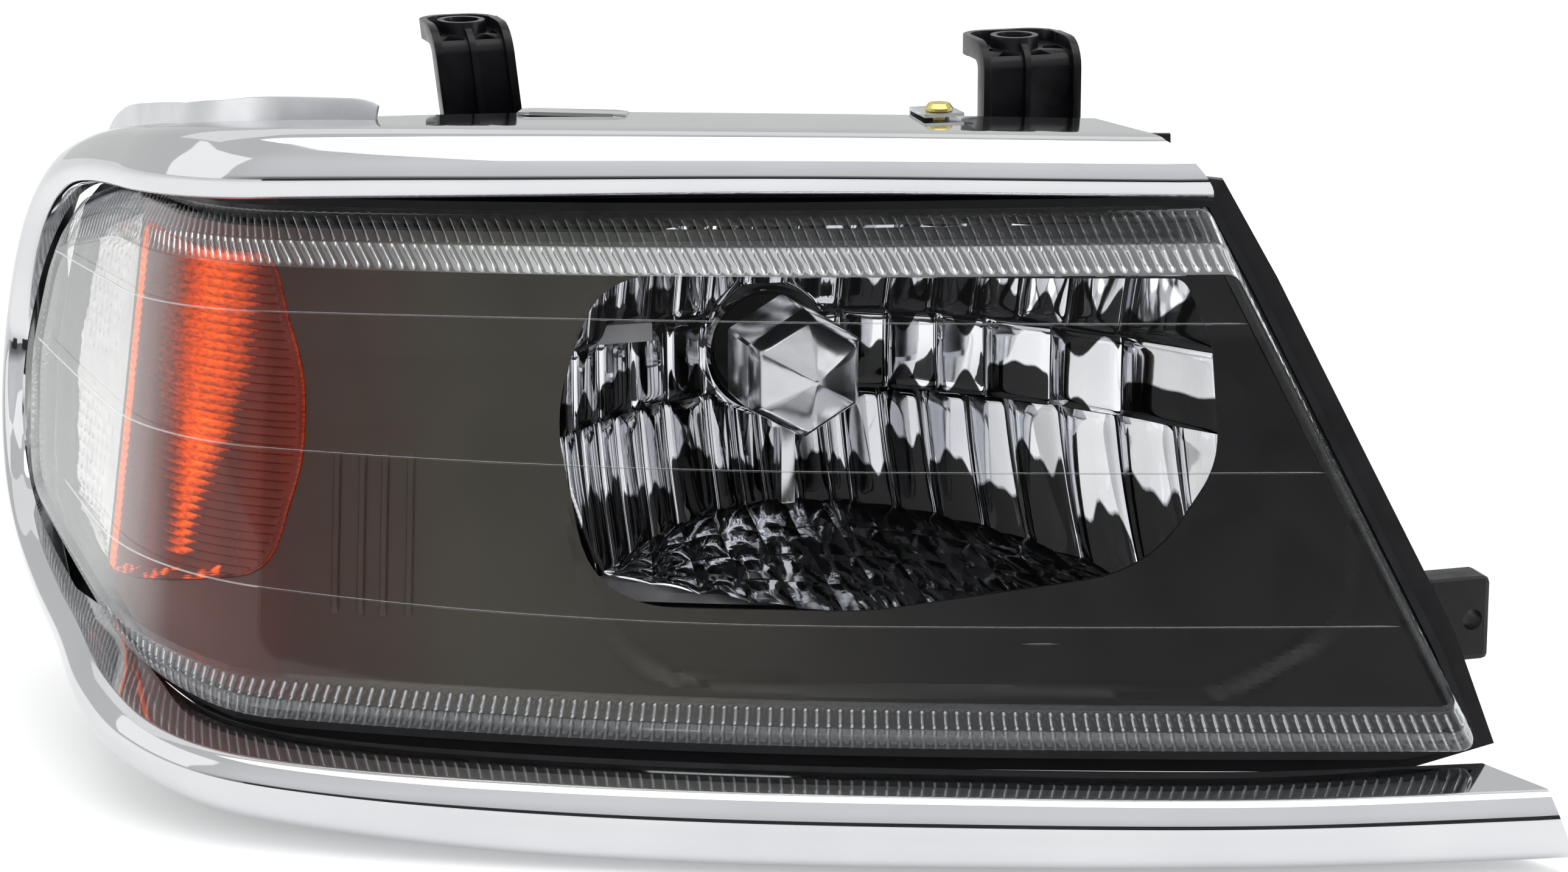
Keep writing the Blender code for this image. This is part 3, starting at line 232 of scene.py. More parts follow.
def make(name, bm, material, node, sharp=40.0, normals=True):
    """Piece from a bmesh in lamp millimetres, standing in for a CAD node."""
    body, slot = PLACES[node]
    if normals:
        bmesh.ops.recalc_face_normals(bm, faces=bm.faces)
    for vert in bm.verts:
        vert.co = world(vert.co)
    piece = mesh_object(name, bm)
    piece.data.materials.append(material)
    piece.data.shade_smooth()
    piece.data.set_sharp_from_angle(angle=math.radians(sharp))
    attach(piece, body)
    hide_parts(node)


def bridge(bm, first, second, closed=True):
    """Faces between two rows of vertices, each row a ring unless closed is false."""
    count = len(first)
    for i in range(count if closed else count - 1):
        k = (i + 1) % count
        bm.faces.new((first[i], first[k], second[k], second[i]))


def loft(bm, rows, closed=True):
    for first, second in zip(rows, rows[1:]):
        bridge(bm, first, second, closed)


def capped_rows(bm, rows):
    """Bar skinned over its cross-sections, with both ends closed."""
    loft(bm, rows)
    bm.faces.new(rows[0])
    bm.faces.new(rows[-1])


def patch(bm, ring, coords, steps, place):
    """Four-sided patch over a ring of vertices whose flat coordinates are coords."""
    along, up = steps
    count = len(ring)

    def pick(i, j):
        if j == 0:
            return i % count
        if j == up:
            return (2 * along + up - i) % count
        if i == 0:
            return (count - j) % count
        return along + j

    rows = []
    for j in range(up + 1):
        row = []
        for i in range(along + 1):
            if i in (0, along) or j in (0, up):
                row.append(ring[pick(i, j)])
                continue
            u, v = i / along, j / up
            low, high = coords[pick(i, 0)], coords[pick(i, up)]
            left, right = coords[pick(0, j)], coords[pick(along, j)]
            point = low * (1 - v) + high * v + left * (1 - u) + right * u
            point -= coords[pick(0, 0)] * (1 - u) * (1 - v) + coords[pick(along, 0)] * u * (1 - v)
            point -= coords[pick(0, up)] * (1 - u) * v + coords[pick(along, up)] * u * v
            row.append(bm.verts.new(place(point)))
        rows.append(row)
    for low, high in zip(rows, rows[1:]):
        for i in range(along):
            bm.faces.new((low[i], low[i + 1], high[i + 1], high[i]))


def block(bm, low, high, bevel):
    """Box between two corners with rounded edges."""
    made = bmesh.ops.create_cube(bm, size=1.0)["verts"]
    low, high = Vector(low), Vector(high)
    bmesh.ops.scale(bm, vec=high - low, verts=made)
    bmesh.ops.translate(bm, vec=(low + high) / 2, verts=made)
    edges = list({e for v in made for e in v.link_edges})
    bmesh.ops.bevel(bm, geom=edges, offset=bevel, segments=2, affect="EDGES", profile=0.6)


def lathe(bm, profile, start, steps, closed=False):
    """Surface turned about +Y from (radius, depth) points; closed joins the last point to the first."""
    x, y, z = start
    rings = []
    for r, h in profile:
        if r < 1e-6:
            rings.append([bm.verts.new((x, y + h, z))])
            continue
        ring = []
        for k in range(steps):
            a = 2 * math.pi * k / steps
            ring.append(bm.verts.new((x + r * math.cos(a), y + h, z - r * math.sin(a))))
        rings.append(ring)
    pairs = list(zip(rings, rings[1:])) + ([(rings[-1], rings[0])] if closed else [])
    for a, b in pairs:
        if len(a) == 1 and len(b) == 1:
            continue
        for k in range(steps):
            n = (k + 1) % steps
            if len(a) == 1:
                bm.faces.new((a[0], b[n], b[k]))
            elif len(b) == 1:
                bm.faces.new((a[k], a[n], b[0]))
            else:
                bm.faces.new((a[k], a[n], b[n], b[k]))


# --- materials

MIX_A, MIX_B, MIX_RESULT = 6, 7, 2  # colour sockets of the Mix node
ROUGH_SCALE = 2.3  # roughness drifts in smaller patches than colour


def shader_nodes(name):
    material = bpy.data.materials.new(name)
    material.use_nodes = True
    tree = material.node_tree
    return material, tree, tree.nodes["Principled BSDF"]


def noise(tree, scale, detail=3.0, stretch=(1, 1, 1)):
    coord = tree.nodes.new("ShaderNodeTexCoord")
    mapping = tree.nodes.new("ShaderNodeMapping")
    mapping.inputs["Scale"].default_value = stretch
    texture = tree.nodes.new("ShaderNodeTexNoise")
    texture.inputs["Scale"].default_value = scale
    texture.inputs["Detail"].default_value = detail
    tree.links.new(coord.outputs["Object"], mapping.inputs["Vector"])
    tree.links.new(mapping.outputs["Vector"], texture.inputs["Vector"])
    return texture.outputs["Fac"]


def stepped_ramp(tree, source, stops):
    """Colour ramp through (position, colour or grey level) stops."""
    node = tree.nodes.new("ShaderNodeValToRGB")
    elements = node.color_ramp.elements
    while len(elements) < len(stops):
        elements.new(0.5)
    for element, (place, colour) in zip(elements, stops):
        element.position = place
        element.color = (colour, colour, colour, 1) if isinstance(colour, float) else (*colour, 1)
    tree.links.new(source, node.inputs["Fac"])
    return node.outputs["Color"]


def ramp(tree, source, low, high, start=0.3, end=0.7):
    return stepped_ramp(tree, source, ((start, low), (end, high)))


def spread(tree, source, low, high):
    """The value mapped so that low gives 0 and high gives 1."""
    node = tree.nodes.new("ShaderNodeMapRange")
    node.inputs["From Min"].default_value = low
    node.inputs["From Max"].default_value = high
    tree.links.new(source, node.inputs["Value"])
    return node.outputs["Result"]


def multiplied(tree, first, second):
    """Product of two colours."""
    node = tree.nodes.new("ShaderNodeMix")
    node.data_type = "RGBA"
    node.blend_type = "MULTIPLY"
    node.inputs["Factor"].default_value = 1.0
    tree.links.new(first, node.inputs[MIX_A])
    tree.links.new(second, node.inputs[MIX_B])
    return node.outputs[MIX_RESULT]


def painted_value(tree, attribute):
    node = tree.nodes.new("ShaderNodeAttribute")
    node.attribute_name = attribute
    return node.outputs["Fac"]


def split_position(tree, output):
    coord = tree.nodes.new("ShaderNodeTexCoord")
    split = tree.nodes.new("ShaderNodeSeparateXYZ")
    tree.links.new(coord.outputs[output], split.inputs["Vector"])
    return split.outputs


def add_bump(tree, shader, strength, distance, scale, detail=3.0):
    bump = tree.nodes.new("ShaderNodeBump")
    bump.inputs["Strength"].default_value = strength
    bump.inputs["Distance"].default_value = distance
    tree.links.new(noise(tree, scale, detail), bump.inputs["Height"])
    tree.links.new(bump.outputs["Normal"], shader.inputs["Normal"])


def surface(name, low, high, rough, scale, metallic, bump, **sockets):
    """Procedural finish: colour and roughness drift with large noise, bump from fine noise.

    rough is (least, greatest), bump is (strength, distance, noise scale).
    """
    material, tree, shader = shader_nodes(name)
    tree.links.new(ramp(tree, noise(tree, scale, 4.0), low, high), shader.inputs["Base Color"])
    tree.links.new(ramp(tree, noise(tree, scale * ROUGH_SCALE), *rough), shader.inputs["Roughness"])
    shader.inputs["Metallic"].default_value = metallic
    add_bump(tree, shader, *bump, detail=2.0)
    for key, value in sockets.items():
        shader.inputs[key.replace("_", " ")].default_value = value
    return material


def clear_material(name, tint, facing_alpha, edge_alpha, rough, painted=None):
    """Clear skin: open where it faces the eye, mirror-like where it turns away."""
    material, tree, shader = shader_nodes(name)
    turned = tree.nodes.new("ShaderNodeLayerWeight")
    alpha = ramp(tree, turned.outputs["Facing"], facing_alpha, edge_alpha, 0.3, 0.95)
    # opacity painted on the mesh is added where given; on the fluted bevel it paints a pale reflection and
    # bright lines
    if painted:
        total = tree.nodes.new("ShaderNodeMath")
        total.operation = "ADD"
        total.use_clamp = True
        tree.links.new(alpha, total.inputs[0])
        tree.links.new(painted_value(tree, painted), total.inputs[1])
        alpha = total.outputs["Value"]
    tree.links.new(alpha, shader.inputs["Alpha"])
    paler = tuple(min(1.0, c * 1.04) for c in tint)
    tree.links.new(ramp(tree, noise(tree, 35.0), tint, paler), shader.inputs["Base Color"])
    tree.links.new(ramp(tree, noise(tree, 90.0), rough, rough * 2.5), shader.inputs["Roughness"])
    shader.inputs["Metallic"].default_value = 1.0
    return material


CHROME = surface(
    "chrome_plate", (0.6, 0.605, 0.625), (0.64, 0.645, 0.66), (0.035, 0.07), 25.0, 1.0,
    (0.02, 0.0001, 140.0),
)
SILVER = surface(
    "aluminised", (0.76, 0.77, 0.8), (0.82, 0.825, 0.85), (0.02, 0.045), 40.0, 1.0,
    (0.05, 0.0002, 90.0),
)
FACET_SILVER_PAINTED_REFLECTION = surface(
    "aluminised_facet_painted_reflection", (0.74, 0.75, 0.78), (0.82, 0.825, 0.85), (0.02, 0.045), 40.0, 1.0,
    (0.05, 0.0002, 90.0),
)
FLOOR_SILVER = surface(
    "aluminised_pebble", (0.88, 0.89, 0.92), (0.95, 0.955, 0.97), (0.04, 0.09), 80.0, 1.0,
    (0.22, 0.0005, 190.0),
)
MARKER_SILVER = surface(
    "marker_silver", (0.62, 0.61, 0.6), (0.72, 0.71, 0.69), (0.12, 0.24), 60.0, 1.0,
    (0.1, 0.0002, 300.0),
)
COLLAR = surface(
    "collar_satin", (0.66, 0.67, 0.69), (0.76, 0.77, 0.79), (0.26, 0.36), 50.0, 1.0,
    (0.06, 0.0001, 500.0),
)
SHIELD = surface(
    "shield_silver", (0.5, 0.51, 0.53), (0.62, 0.63, 0.65), (0.12, 0.22), 55.0, 1.0,
    (0.05, 0.0002, 200.0),
)
MASK = surface(
    "mask_satin", (0.052, 0.05, 0.046), (0.072, 0.069, 0.063), (0.3, 0.38), 22.0, 0.55,
    (0.06, 0.0001, 2400.0),
)
BLACK = surface(
    "black_moulded", (0.004, 0.004, 0.005), (0.009, 0.009, 0.011), (0.3, 0.5), 45.0, 0.0,
    (0.12, 0.0002, 1500.0), Specular_IOR_Level=0.28,
)
BRACKET = surface(
    "bracket_black", (0.003, 0.003, 0.004), (0.007, 0.007, 0.009), (0.22, 0.36), 60.0, 0.0,
    (0.06, 0.0001, 800.0), Specular_IOR_Level=0.28,
)
RUBBER = surface(
    "rubber_black", (0.014, 0.014, 0.014), (0.024, 0.023, 0.022), (0.65, 0.85), 80.0, 0.0,
    (0.25, 0.0003, 1100.0),
)
BUTYL = surface(
    "butyl_cord", (0.012, 0.012, 0.012), (0.03, 0.03, 0.03), (0.55, 0.8), 120.0, 0.0,
    (0.4, 0.0006, 300.0),
)
STEEL = surface(
    "zinc_steel", (0.52, 0.53, 0.55), (0.66, 0.67, 0.69), (0.22, 0.42), 90.0, 1.0,
    (0.12, 0.0002, 700.0),
)
ZINC = surface(
    "yellow_passivate", (0.62, 0.5, 0.12), (0.8, 0.72, 0.3), (0.14, 0.3), 160.0, 1.0,
    (0.1, 0.0002, 900.0),
)
NYLON = surface(
    "natural_nylon", (0.74, 0.72, 0.64), (0.84, 0.82, 0.75), (0.35, 0.5), 70.0, 0.0,
    (0.08, 0.0002, 900.0),
)
GREY = surface(
    "grey_nylon", (0.2, 0.2, 0.21), (0.28, 0.28, 0.29), (0.38, 0.55), 70.0, 0.0, (0.1, 0.0002, 1200.0),
)
GLASS = clear_material("bulb_glass_clear", (0.93, 0.94, 0.95), 0.08, 0.95, 0.01)
LENS_FACE_CLEAR = clear_material("lens_face_clear", (0.95, 0.96, 0.97), 0.015, 0.4, 0.015)
LENS_FLUTE = clear_material("lens_flute_clear", (0.93, 0.95, 0.97), 0.015, 0.4, 0.03, painted="painted_reflection_veil")
LENS_MARK = clear_material("lens_line_clear", (0.95, 0.96, 0.97), 0.2, 0.7, 0.03)

# mask colour along X: its own near-black inboard, a painted olive-grey reflection towards the corner, reddish
# beside the amber lens
MASK_PAINTED_REFLECTION_SPAN = (-0.25, 0.1)
MASK_TINTS_AND_PAINTED_REFLECTION = (
    (0.0, (0.1, 0.02, 0.014)), (0.07, (0.055, 0.026, 0.02)), (0.2, (0.056, 0.05, 0.038)),
    (0.36, (0.042, 0.04, 0.032)), (0.55, (0.013, 0.012, 0.0115)), (0.75, (0.004, 0.0035, 0.005)),
    (1.0, (0.009, 0.007, 0.008)),
)
# amber colours by painted light level, from dark amber to a bright painted glow
AMBER_PAINTED_GLOW_TINTS = (
    (0.0, (0.045, 0.008, 0.005)), (0.25, (0.12, 0.012, 0.005)), (0.6, (0.75, 0.08, 0.004)),
    (1.0, (1.0, 0.26, 0.012)),
)


def mask_painted_reflection_material():
    """Satin trim with painted reflection: nearly black inboard, a painted olive-grey reflection towards the
    corner and reddish beside the amber lens.
    """
    material, tree, shader = shader_nodes("mask_satin_painted_reflection")
    along = spread(tree, split_position(tree, "Object")["X"], *MASK_PAINTED_REFLECTION_SPAN)
    tint = stepped_ramp(tree, along, MASK_TINTS_AND_PAINTED_REFLECTION)
    drift = ramp(tree, noise(tree, 18.0, 4.0), 0.8, 1.0)
    tree.links.new(multiplied(tree, tint, drift), shader.inputs["Base Color"])
    tree.links.new(ramp(tree, noise(tree, 60.0), 0.3, 0.42), shader.inputs["Roughness"])
    shader.inputs["Specular IOR Level"].default_value = 0.35
    add_bump(tree, shader, 0.05, 0.0001, 2600.0)
    return material


def amber_painted_glow_material():
    """Amber plastic with a painted glow: base colour and emission follow the painted light stored on its mesh
    by formula.
    """
    material, tree, shader = shader_nodes("amber_ribbed_painted_glow")
    glow_level = tree.nodes.new("ShaderNodeMath")
    glow_level.operation = "MULTIPLY"
    tree.links.new(painted_value(tree, "painted_light"), glow_level.inputs[0])
    grain = noise(tree, 420.0, 3.0, (1, 1, 3))
    tree.links.new(ramp(tree, grain, 0.6, 1.0, 0.25, 0.6), glow_level.inputs[1])
    tint = stepped_ramp(tree, glow_level.outputs["Value"], AMBER_PAINTED_GLOW_TINTS)
    tree.links.new(tint, shader.inputs["Base Color"])
    tree.links.new(tint, shader.inputs["Emission Color"])
    tree.links.new(ramp(tree, noise(tree, 70.0), 0.16, 0.28), shader.inputs["Roughness"])
    # painted glow: emission makes the amber lens give off light though it is no lamp
    shader.inputs["Emission Strength"].default_value = 0.42
    shader.inputs["Specular IOR Level"].default_value = 0.25
    return material


def shade_by(material, attribute):
    """Multiply the base colour by painted light and shade stored on the mesh by formula."""
    tree = material.node_tree
    shader = tree.nodes["Principled BSDF"]
    source = shader.inputs["Base Color"].links[0].from_socket
    contrast = ramp(tree, painted_value(tree, attribute), 0.03, 1.0, 0.4, 0.6)
    tree.links.new(multiplied(tree, source, contrast), shader.inputs["Base Color"])


# painted reflection on the reflector facets, multiplied into their colour
shade_by(FACET_SILVER_PAINTED_REFLECTION, "painted_light")
MASK_PAINTED_REFLECTION = mask_painted_reflection_material()
AMBER_PAINTED_GLOW = amber_painted_glow_material()

CAD_FINISH = (
    (BLACK, "housing side_mount bulb_base"), (BUTYL, "lens_seal"), (BRACKET, "bracket_outer bracket_inner"),
    (MASK, "bezel_mask"), (CHROME, "chrome_bezel"), (LENS_FACE_CLEAR, "lens"), (AMBER_PAINTED_GLOW, "amber_lens"),
    (MARKER_SILVER, "signal_reflector marker_reflector"), (SILVER, "reflector bulb_shield"),
    (ZINC, "trim_screw"), (STEEL, "trim_nut_clip bracket_screw_outer bracket_screw_inner"),
    (STEEL, "pivot_stud_outer pivot_stud_inner bulb_filaments adjuster_screw"),
    (NYLON, "adjuster_gear adjuster_nut"), (GREY, "bulb_ring signal_socket marker_socket"),
    (RUBBER, "vent_tube bulb_boot bulb_seal signal_gasket marker_gasket"),
    (GLASS, "headlight_bulb signal_bulb marker_bulb"),
)
for finish, names in CAD_FINISH:
    for node_name in names.split():
        materials = frame["nodes"][node_name].data.materials
        materials.clear()
        materials.append(finish)


# --- chrome bezel

# edges of the C-shaped surround as (s, z, d), from the top bar's inboard end round to the bottom bar's
BEZEL_INNER = (
    (110, 79.5, -4), (230, 80, -4), (330, 77, -4), (410, 73.2, -4), (460, 70.5, -4), (505, 65.5, -4),
    (538, 57.5, -3), (562, 45, -2), (578, 27, -1), (585, 4, 0), (581, -18, 0), (567, -38, 0),
    (545, -51, -1), (510, -60, -2), (475, -66, -3), (445, -73, -6), (420, -80, -9), (395, -84, -11),
    (360, -86, -12), (300, -87, -12), (200, -88, -12), (100, -89, -12), (14, -87, -12),
)
BEZEL_OUTER = (
    (112, 95, -2), (230, 96, -2), (330, 95, -2), (400, 92.8, -2), (440, 90.3, -2), (486, 84.8, -2),
    (530, 74.5, -2), (562, 62, -2), (585, 41, -2), (595, 12, -2), (592, -18, -2), (579, -39, -2),
    (555, -55, -2), (527, -68, -2), (492, -76, -3), (460, -86, -5), (434, -93, -8), (400, -101, -10),
    (360, -105, -11), (300, -108, -11), (200, -109, -11), (100, -109, -11), (6, -107, -11),
)
BEZEL_STEPS = 300
BEZEL_FRONT = 0.04  # stands proud of the CAD surface, and the back lies BEZEL_BACK behind it
BEZEL_BACK = 1.8
TOP_END = (112.0, 90.0)  # s where the bar ends, and length over which its end is cut back
LOWER_END = (14.0, 70.0)
COLLAR_SPAN = (357.0, 546.0)
COLLAR_STEPS = 660
COLLAR_SHARE = 0.4  # share of the bezel's run in which the collar lies


def bezel_profile(inner, outer, share):
    """Softened cross-section of the bezel and the function that lays its points on the skin."""
    across = Vector((outer.x - inner.x, outer.y - inner.y))
    width = across.length
    across.normalize()
    top = clamped((0.42 - share) / 0.04)
    side = math.exp(-(((share - 0.46) / 0.12) ** 2))
    bottom = clamped((share - 0.6) / 0.06)
    back = 21.0 * (1 - top) + top * (16.0 + 14.0 * (1 - clamped((outer.x - 300.0) / 80.0)))
    lip_return = 9.0 - 7.0 * side + 12.0 * bottom
    low, high = inner.lerp(outer, 0.3).z - 2.4, inner.lerp(outer, 0.62).z - 2.2
    corners = (
        (-0.4 - 1.6 * bottom, min(inner.z + lip_return, 11.0), 0), (0.0, inner.z + 1.6, 1.5),
        (1.4, inner.z, 2.2), (0.3 * width, low, 8.0), (0.62 * width, high, 8.0),
        (width - 1.8, outer.z + 0.2, 5.0), (width + 0.7, outer.z + 3.0, 4.0),
        (width + 1.2, outer.z + 7.0, 4.0), (width + 1.6, outer.z + back, 0),
    )
    near_top = clamped(1 - (inner.x - TOP_END[0]) / TOP_END[1]) if share < 0.3 else 0.0
    near_low = clamped(1 - (inner.x - LOWER_END[0]) / LOWER_END[1]) if share > 0.7 else 0.0

    def place(p):
        s = inner.x + across.x * p.x
        s += near_top * (0.66 * max(0.0, p.y + 2.0) + 10.0 * clamped((p.x - 2.0) / (width - 2.0)) ** 1.6)
        s += near_low * 0.8 * max(0.0, p.y + 9.0)
        return skin(s, inner.y + across.y * p.x, p.y)

    return soft_polyline(corners), place


def build_bezel():
    inner, outer = curve_through(BEZEL_INNER, BEZEL_STEPS), curve_through(BEZEL_OUTER, BEZEL_STEPS)
    bm = bmesh.new()
    fronts, backs = [], []
    for k, (a, b) in enumerate(zip(inner, outer)):
        profile, place = bezel_profile(a, b, k / BEZEL_STEPS)
        front, back = [], []
        for i, p in enumerate(profile):
            run = (profile[min(i + 1, len(profile) - 1)] - profile[max(i - 1, 0)]).normalized()
            normal = Vector((-run.y, run.x))
            front.append(bm.verts.new(place(p + normal * BEZEL_FRONT)))
            back.append(bm.verts.new(place(p + normal * BEZEL_BACK)))
        fronts.append(front)
        backs.append(back)
    for k in range(BEZEL_STEPS):
        bridge(bm, fronts[k], fronts[k + 1], closed=False)
        bridge(bm, backs[k + 1], backs[k], closed=False)
        for end in (0, -1):
            bm.faces.new((fronts[k][end], fronts[k + 1][end], backs[k + 1][end], backs[k][end]))
    for k in (0, -1):
        for i in range(len(fronts[k]) - 1):
            bm.faces.new((fronts[k][i], fronts[k][i + 1], backs[k][i + 1], backs[k][i]))
    make("bezel_shell", bm, CHROME, "chrome_bezel", sharp=50)


def build_collar():
    """Satin upright wall on the shelf round the outer top corner."""
    inner, outer = curve_through(BEZEL_INNER, COLLAR_STEPS), curve_through(BEZEL_OUTER, COLLAR_STEPS)
    start, end = COLLAR_SPAN
    bm = bmesh.new()
    rows = []
    for a, b in list(zip(inner, outer))[:int(COLLAR_SHARE * COLLAR_STEPS)]:
        if not start <= b.x <= end:
            continue
        across = Vector((b.x - a.x, b.y - a.y)).normalized()
        near, far = clamped((b.x - start) / 14.0), clamped((end - b.x) / 22.0)
        height = 5.0 + 4.0 * clamped((b.x - start - 14.0) / 80.0)
        height = 0.7 + height * math.sqrt(1 - (1 - near) ** 2) * math.sqrt(1 - (1 - far) ** 2)
        corners = (
            (1.0, 12.0), (2.0 + 0.7 * height, 12.0), (1.9 + height, 12.1), (2.0 + height, 12.5),
            (2.0 + height, 13.5), (1.9 + height, 13.9), (2.0 + 0.7 * height, 14.0), (1.0, 14.0),
        )
        rows.append([bm.verts.new(skin(b.x + across.x * h, b.y + across.y * h, d)) for h, d in corners])
    capped_rows(bm, rows)
    make("bezel_collar", bm, COLLAR, "chrome_bezel", sharp=50)


TAB_PLACE = (300.0, 97.0, 20.0)
TAB_SIZE = (17.0, 1.0, 7.0)  # half length, height, depth


def build_shelf_tab():
    """Thin plate on the bezel's shelf."""
    s, z, d = TAB_PLACE
    half, height, depth = TAB_SIZE
    corners = ((s - half, 1.2), (s - half + 4, 0), (s + half - 4, 0), (s + half, 1.2))
    bm = bmesh.new()
    rings = []
    for level in (0.0, height):
        ring = [bm.verts.new(skin(x, z + level - 0.2 * lift, d)) for x, lift in corners]
        ring += [bm.verts.new(skin(x, z + level - 0.2 * lift, d + depth)) for x, lift in corners[::-1]]
        rings.append(ring)
    bridge(bm, *rings)
    for ring in rings:
        bm.faces.new(ring)
    edges = [e for e in bm.edges if abs(e.verts[0].co.z - e.verts[1].co.z) < 0.4]
    bmesh.ops.bevel(bm, geom=edges, offset=0.3, segments=2, affect="EDGES")
    make("bezel_tab", bm, CHROME, "chrome_bezel", sharp=40)


# --- lens

LENS_FACE = (
    (37, -67.5, 4), (395, -64, 150), (552, -38, 26), (566, 1, 26), (552, 37, 28), (480, 54, 90),
    (103, 57.5, 5),
)
LENS_RIM = (
    (29, -82, 5), (400, -79, 150), (566, -48, 28), (580, 1, 30), (566, 48, 30), (500, 67, 90), (110, 74, 5),
)
LENS_CORNERS = (0, 2, 4, 6)
LENS_SIDES = ("bottom", "outboard", "top", "inboard")
FLUTES = (154, 32, 130, 38)  # number on each side
FLUTE_STEPS = 6
FLUTE_DEPTH = 0.75
LENS_DEPTH = 17.2
LENS_WALL = 2.6
FACE_STEPS = (150, 36)
# the bevel from face to rim: share of the way, depth, strength of the flutes
BEVEL = (
    (0.0, 0.0, 0.0), (0.04, 0.15, 0.0), (0.09, 0.5, 0.9), (0.2, 1.2, 1.0), (0.36, 2.3, 1.0), (0.47, 3.2, 1.0),
    (0.5, 3.5, 0.15), (0.53, 3.9, 0.9), (0.7, 5.6, 1.0), (0.88, 7.6, 1.0), (0.96, 8.7, 0.8), (1.0, 9.6, 0.0),
    (1.0, LENS_DEPTH, 0.0),
)
BEVEL_INSIDE = ((1.0, LENS_DEPTH), (0.94, 11.0), (0.5, 6.2), (0.0, 2.8))
# raised lines: height, first and last s, rise towards the corner
LENS_LINES = (
    (43.5, 99.5, 549.0, -6.2), (1.2, 76.5, 560.0, 4.4), (-42.8, 55.0, 510.0, 17.0),
    (-47.5, 153.0, 164.0, 0.0),
)
LINE_STEPS = 160
LINE_SECTION = ((-0.28, 0.05), (-0.16, -0.24), (0.16, -0.24), (0.28, 0.05))


def flute_painted_reflection_veil(side, share, s, ridge):
    """Painted opacity of the fluted bevel, which sets how much of its mirror-like skin shows: a painted pale
    reflection inboard and over the beam, fine painted bright lines elsewhere.
    """
    inner = share < 0.5
    over_beam = smooth(360.0, 300.0, s)
    if side == "inboard":
        return (0.5 if inner else 0.3) + 0.4 * ridge
    if side == "top" and inner:
        return (0.04 + 0.15 * over_beam) + ridge * (0.6 - 0.25 * over_beam)
    if side == "top":
        return 0.012 + ridge * (0.42 - 0.28 * over_beam)
    if side == "bottom":
        return (0.03 if inner else 0.01) + ridge * (0.42 if inner else 0.3)
    return 0.06 + 0.3 * ridge


def build_lens():
    steps = tuple(n * FLUTE_STEPS for n in FLUTES)
    sides = [name for name, number in zip(LENS_SIDES, steps) for _ in range(number)]
    face = outline(LENS_FACE, LENS_CORNERS, steps)
    rim = outline(LENS_RIM, LENS_CORNERS, steps)
    bm = bmesh.new()
    painted_reflection_veil = bm.verts.layers.float.new("painted_reflection_veil")
    rings = []
    for share, depth, flute in BEVEL:
        ring = []
        for i, side in enumerate(sides):
            phase = (i % FLUTE_STEPS) / FLUTE_STEPS
            ridge = abs(math.sin(math.pi * phase)) ** 0.8
            point = face[i].lerp(rim[i], share)
            vert = bm.verts.new(skin(point.x, point.y, depth + flute * FLUTE_DEPTH * (1.0 - ridge)))
            vert[painted_reflection_veil] = flute_painted_reflection_veil(side, share, point.x, 1.0 if phase == 0 and flute > 0.5 else 0.0)
            ring.append(vert)
        rings.append(ring)
    loft(bm, rings)
    inner = []
    for share, depth in BEVEL_INSIDE:
        base = grown([f.lerp(r, share) for f, r in zip(face, rim)], -LENS_WALL if share == 1.0 else -0.6)
        inner.append([bm.verts.new(skin(p.x, p.y, depth)) for p in base])
    bridge(bm, rings[-1], inner[0])
    bridge(bm, inner[-1], rings[0])
    loft(bm, inner)
    make("lens_flutes", bm, LENS_FLUTE, "lens", sharp=50)

    bm = bmesh.new()
    face = outline(LENS_FACE, LENS_CORNERS, FACE_STEPS * 2)
    shells = []
    for depth, inset in ((0.0, -0.05), (LENS_WALL, -0.8)):
        flat_ring = grown(face, inset)
        ring = [bm.verts.new(skin(p.x, p.y, depth)) for p in flat_ring]
        patch(bm, ring, flat_ring, FACE_STEPS, lambda p, depth=depth: skin(p.x, p.y, depth))
        shells.append(ring)
    bridge(bm, *shells)
    make("lens_face", bm, LENS_FACE_CLEAR, "lens", sharp=60)

    bm = bmesh.new()
    for z, first, last, taper in LENS_LINES:
        rows = []
        for k in range(LINE_STEPS + 1):
            s = first + (last - first) * k / LINE_STEPS
            level = z + taper * (max(0.0, s - 230.0) / 300.0) ** 2
            tip = 0.12 + 0.88 * smooth(0.0, 4.0, min(s - first, last - s))
            rows.append([bm.verts.new(skin(s, level + h * tip, d * tip)) for h, d in LINE_SECTION])
        capped_rows(bm, rows)
    make("lens_lines", bm, LENS_MARK, "lens", sharp=60)


# --- inner trim

MASK_EDGE = ((36, -77, 4), (400, -74, 150), (499, -56, 5), (499, 61.5, 5), (360, 64, 300), (113, 69, 4))
AMBER_EDGE = ((379.5, -4, 60), (390, -37.5, 22), (494, -54, 4), (494, 55, 4), (393, 56, 12), (379, 22, 60))
MARKER_EDGE = ((503, -55, 4), (548, -44, 18), (564, 0, 40), (550, 42, 18), (503, 56, 4))
OPENING_EDGE = (
    (-62, -43, 26), (12, -43, 90), (90, -31, 44), (111, 0, 30), (110, 34, 20), (103, 53, 6), (-56, 53, 26),
    (-72, 14, 60),
)
RECESS = (
    (296, -30, 30), (276, -64, 34), (106, -67, 30), (68, -48, 26), (66, 8, 90), (92, 70, 20), (296, 70, 90),
)
MASK_STEPS = (230, 84)
MASK_DEPTH, MASK_BACK = 13.0, 17.4
RECESS_DEPTH, RECESS_SLOPE = 3.4, 1.6
GROOVES = (346.0, 354.0, 361.0, 369.0)
GROOVE_LENGTH, GROOVE_STEPS = 48.0, 24


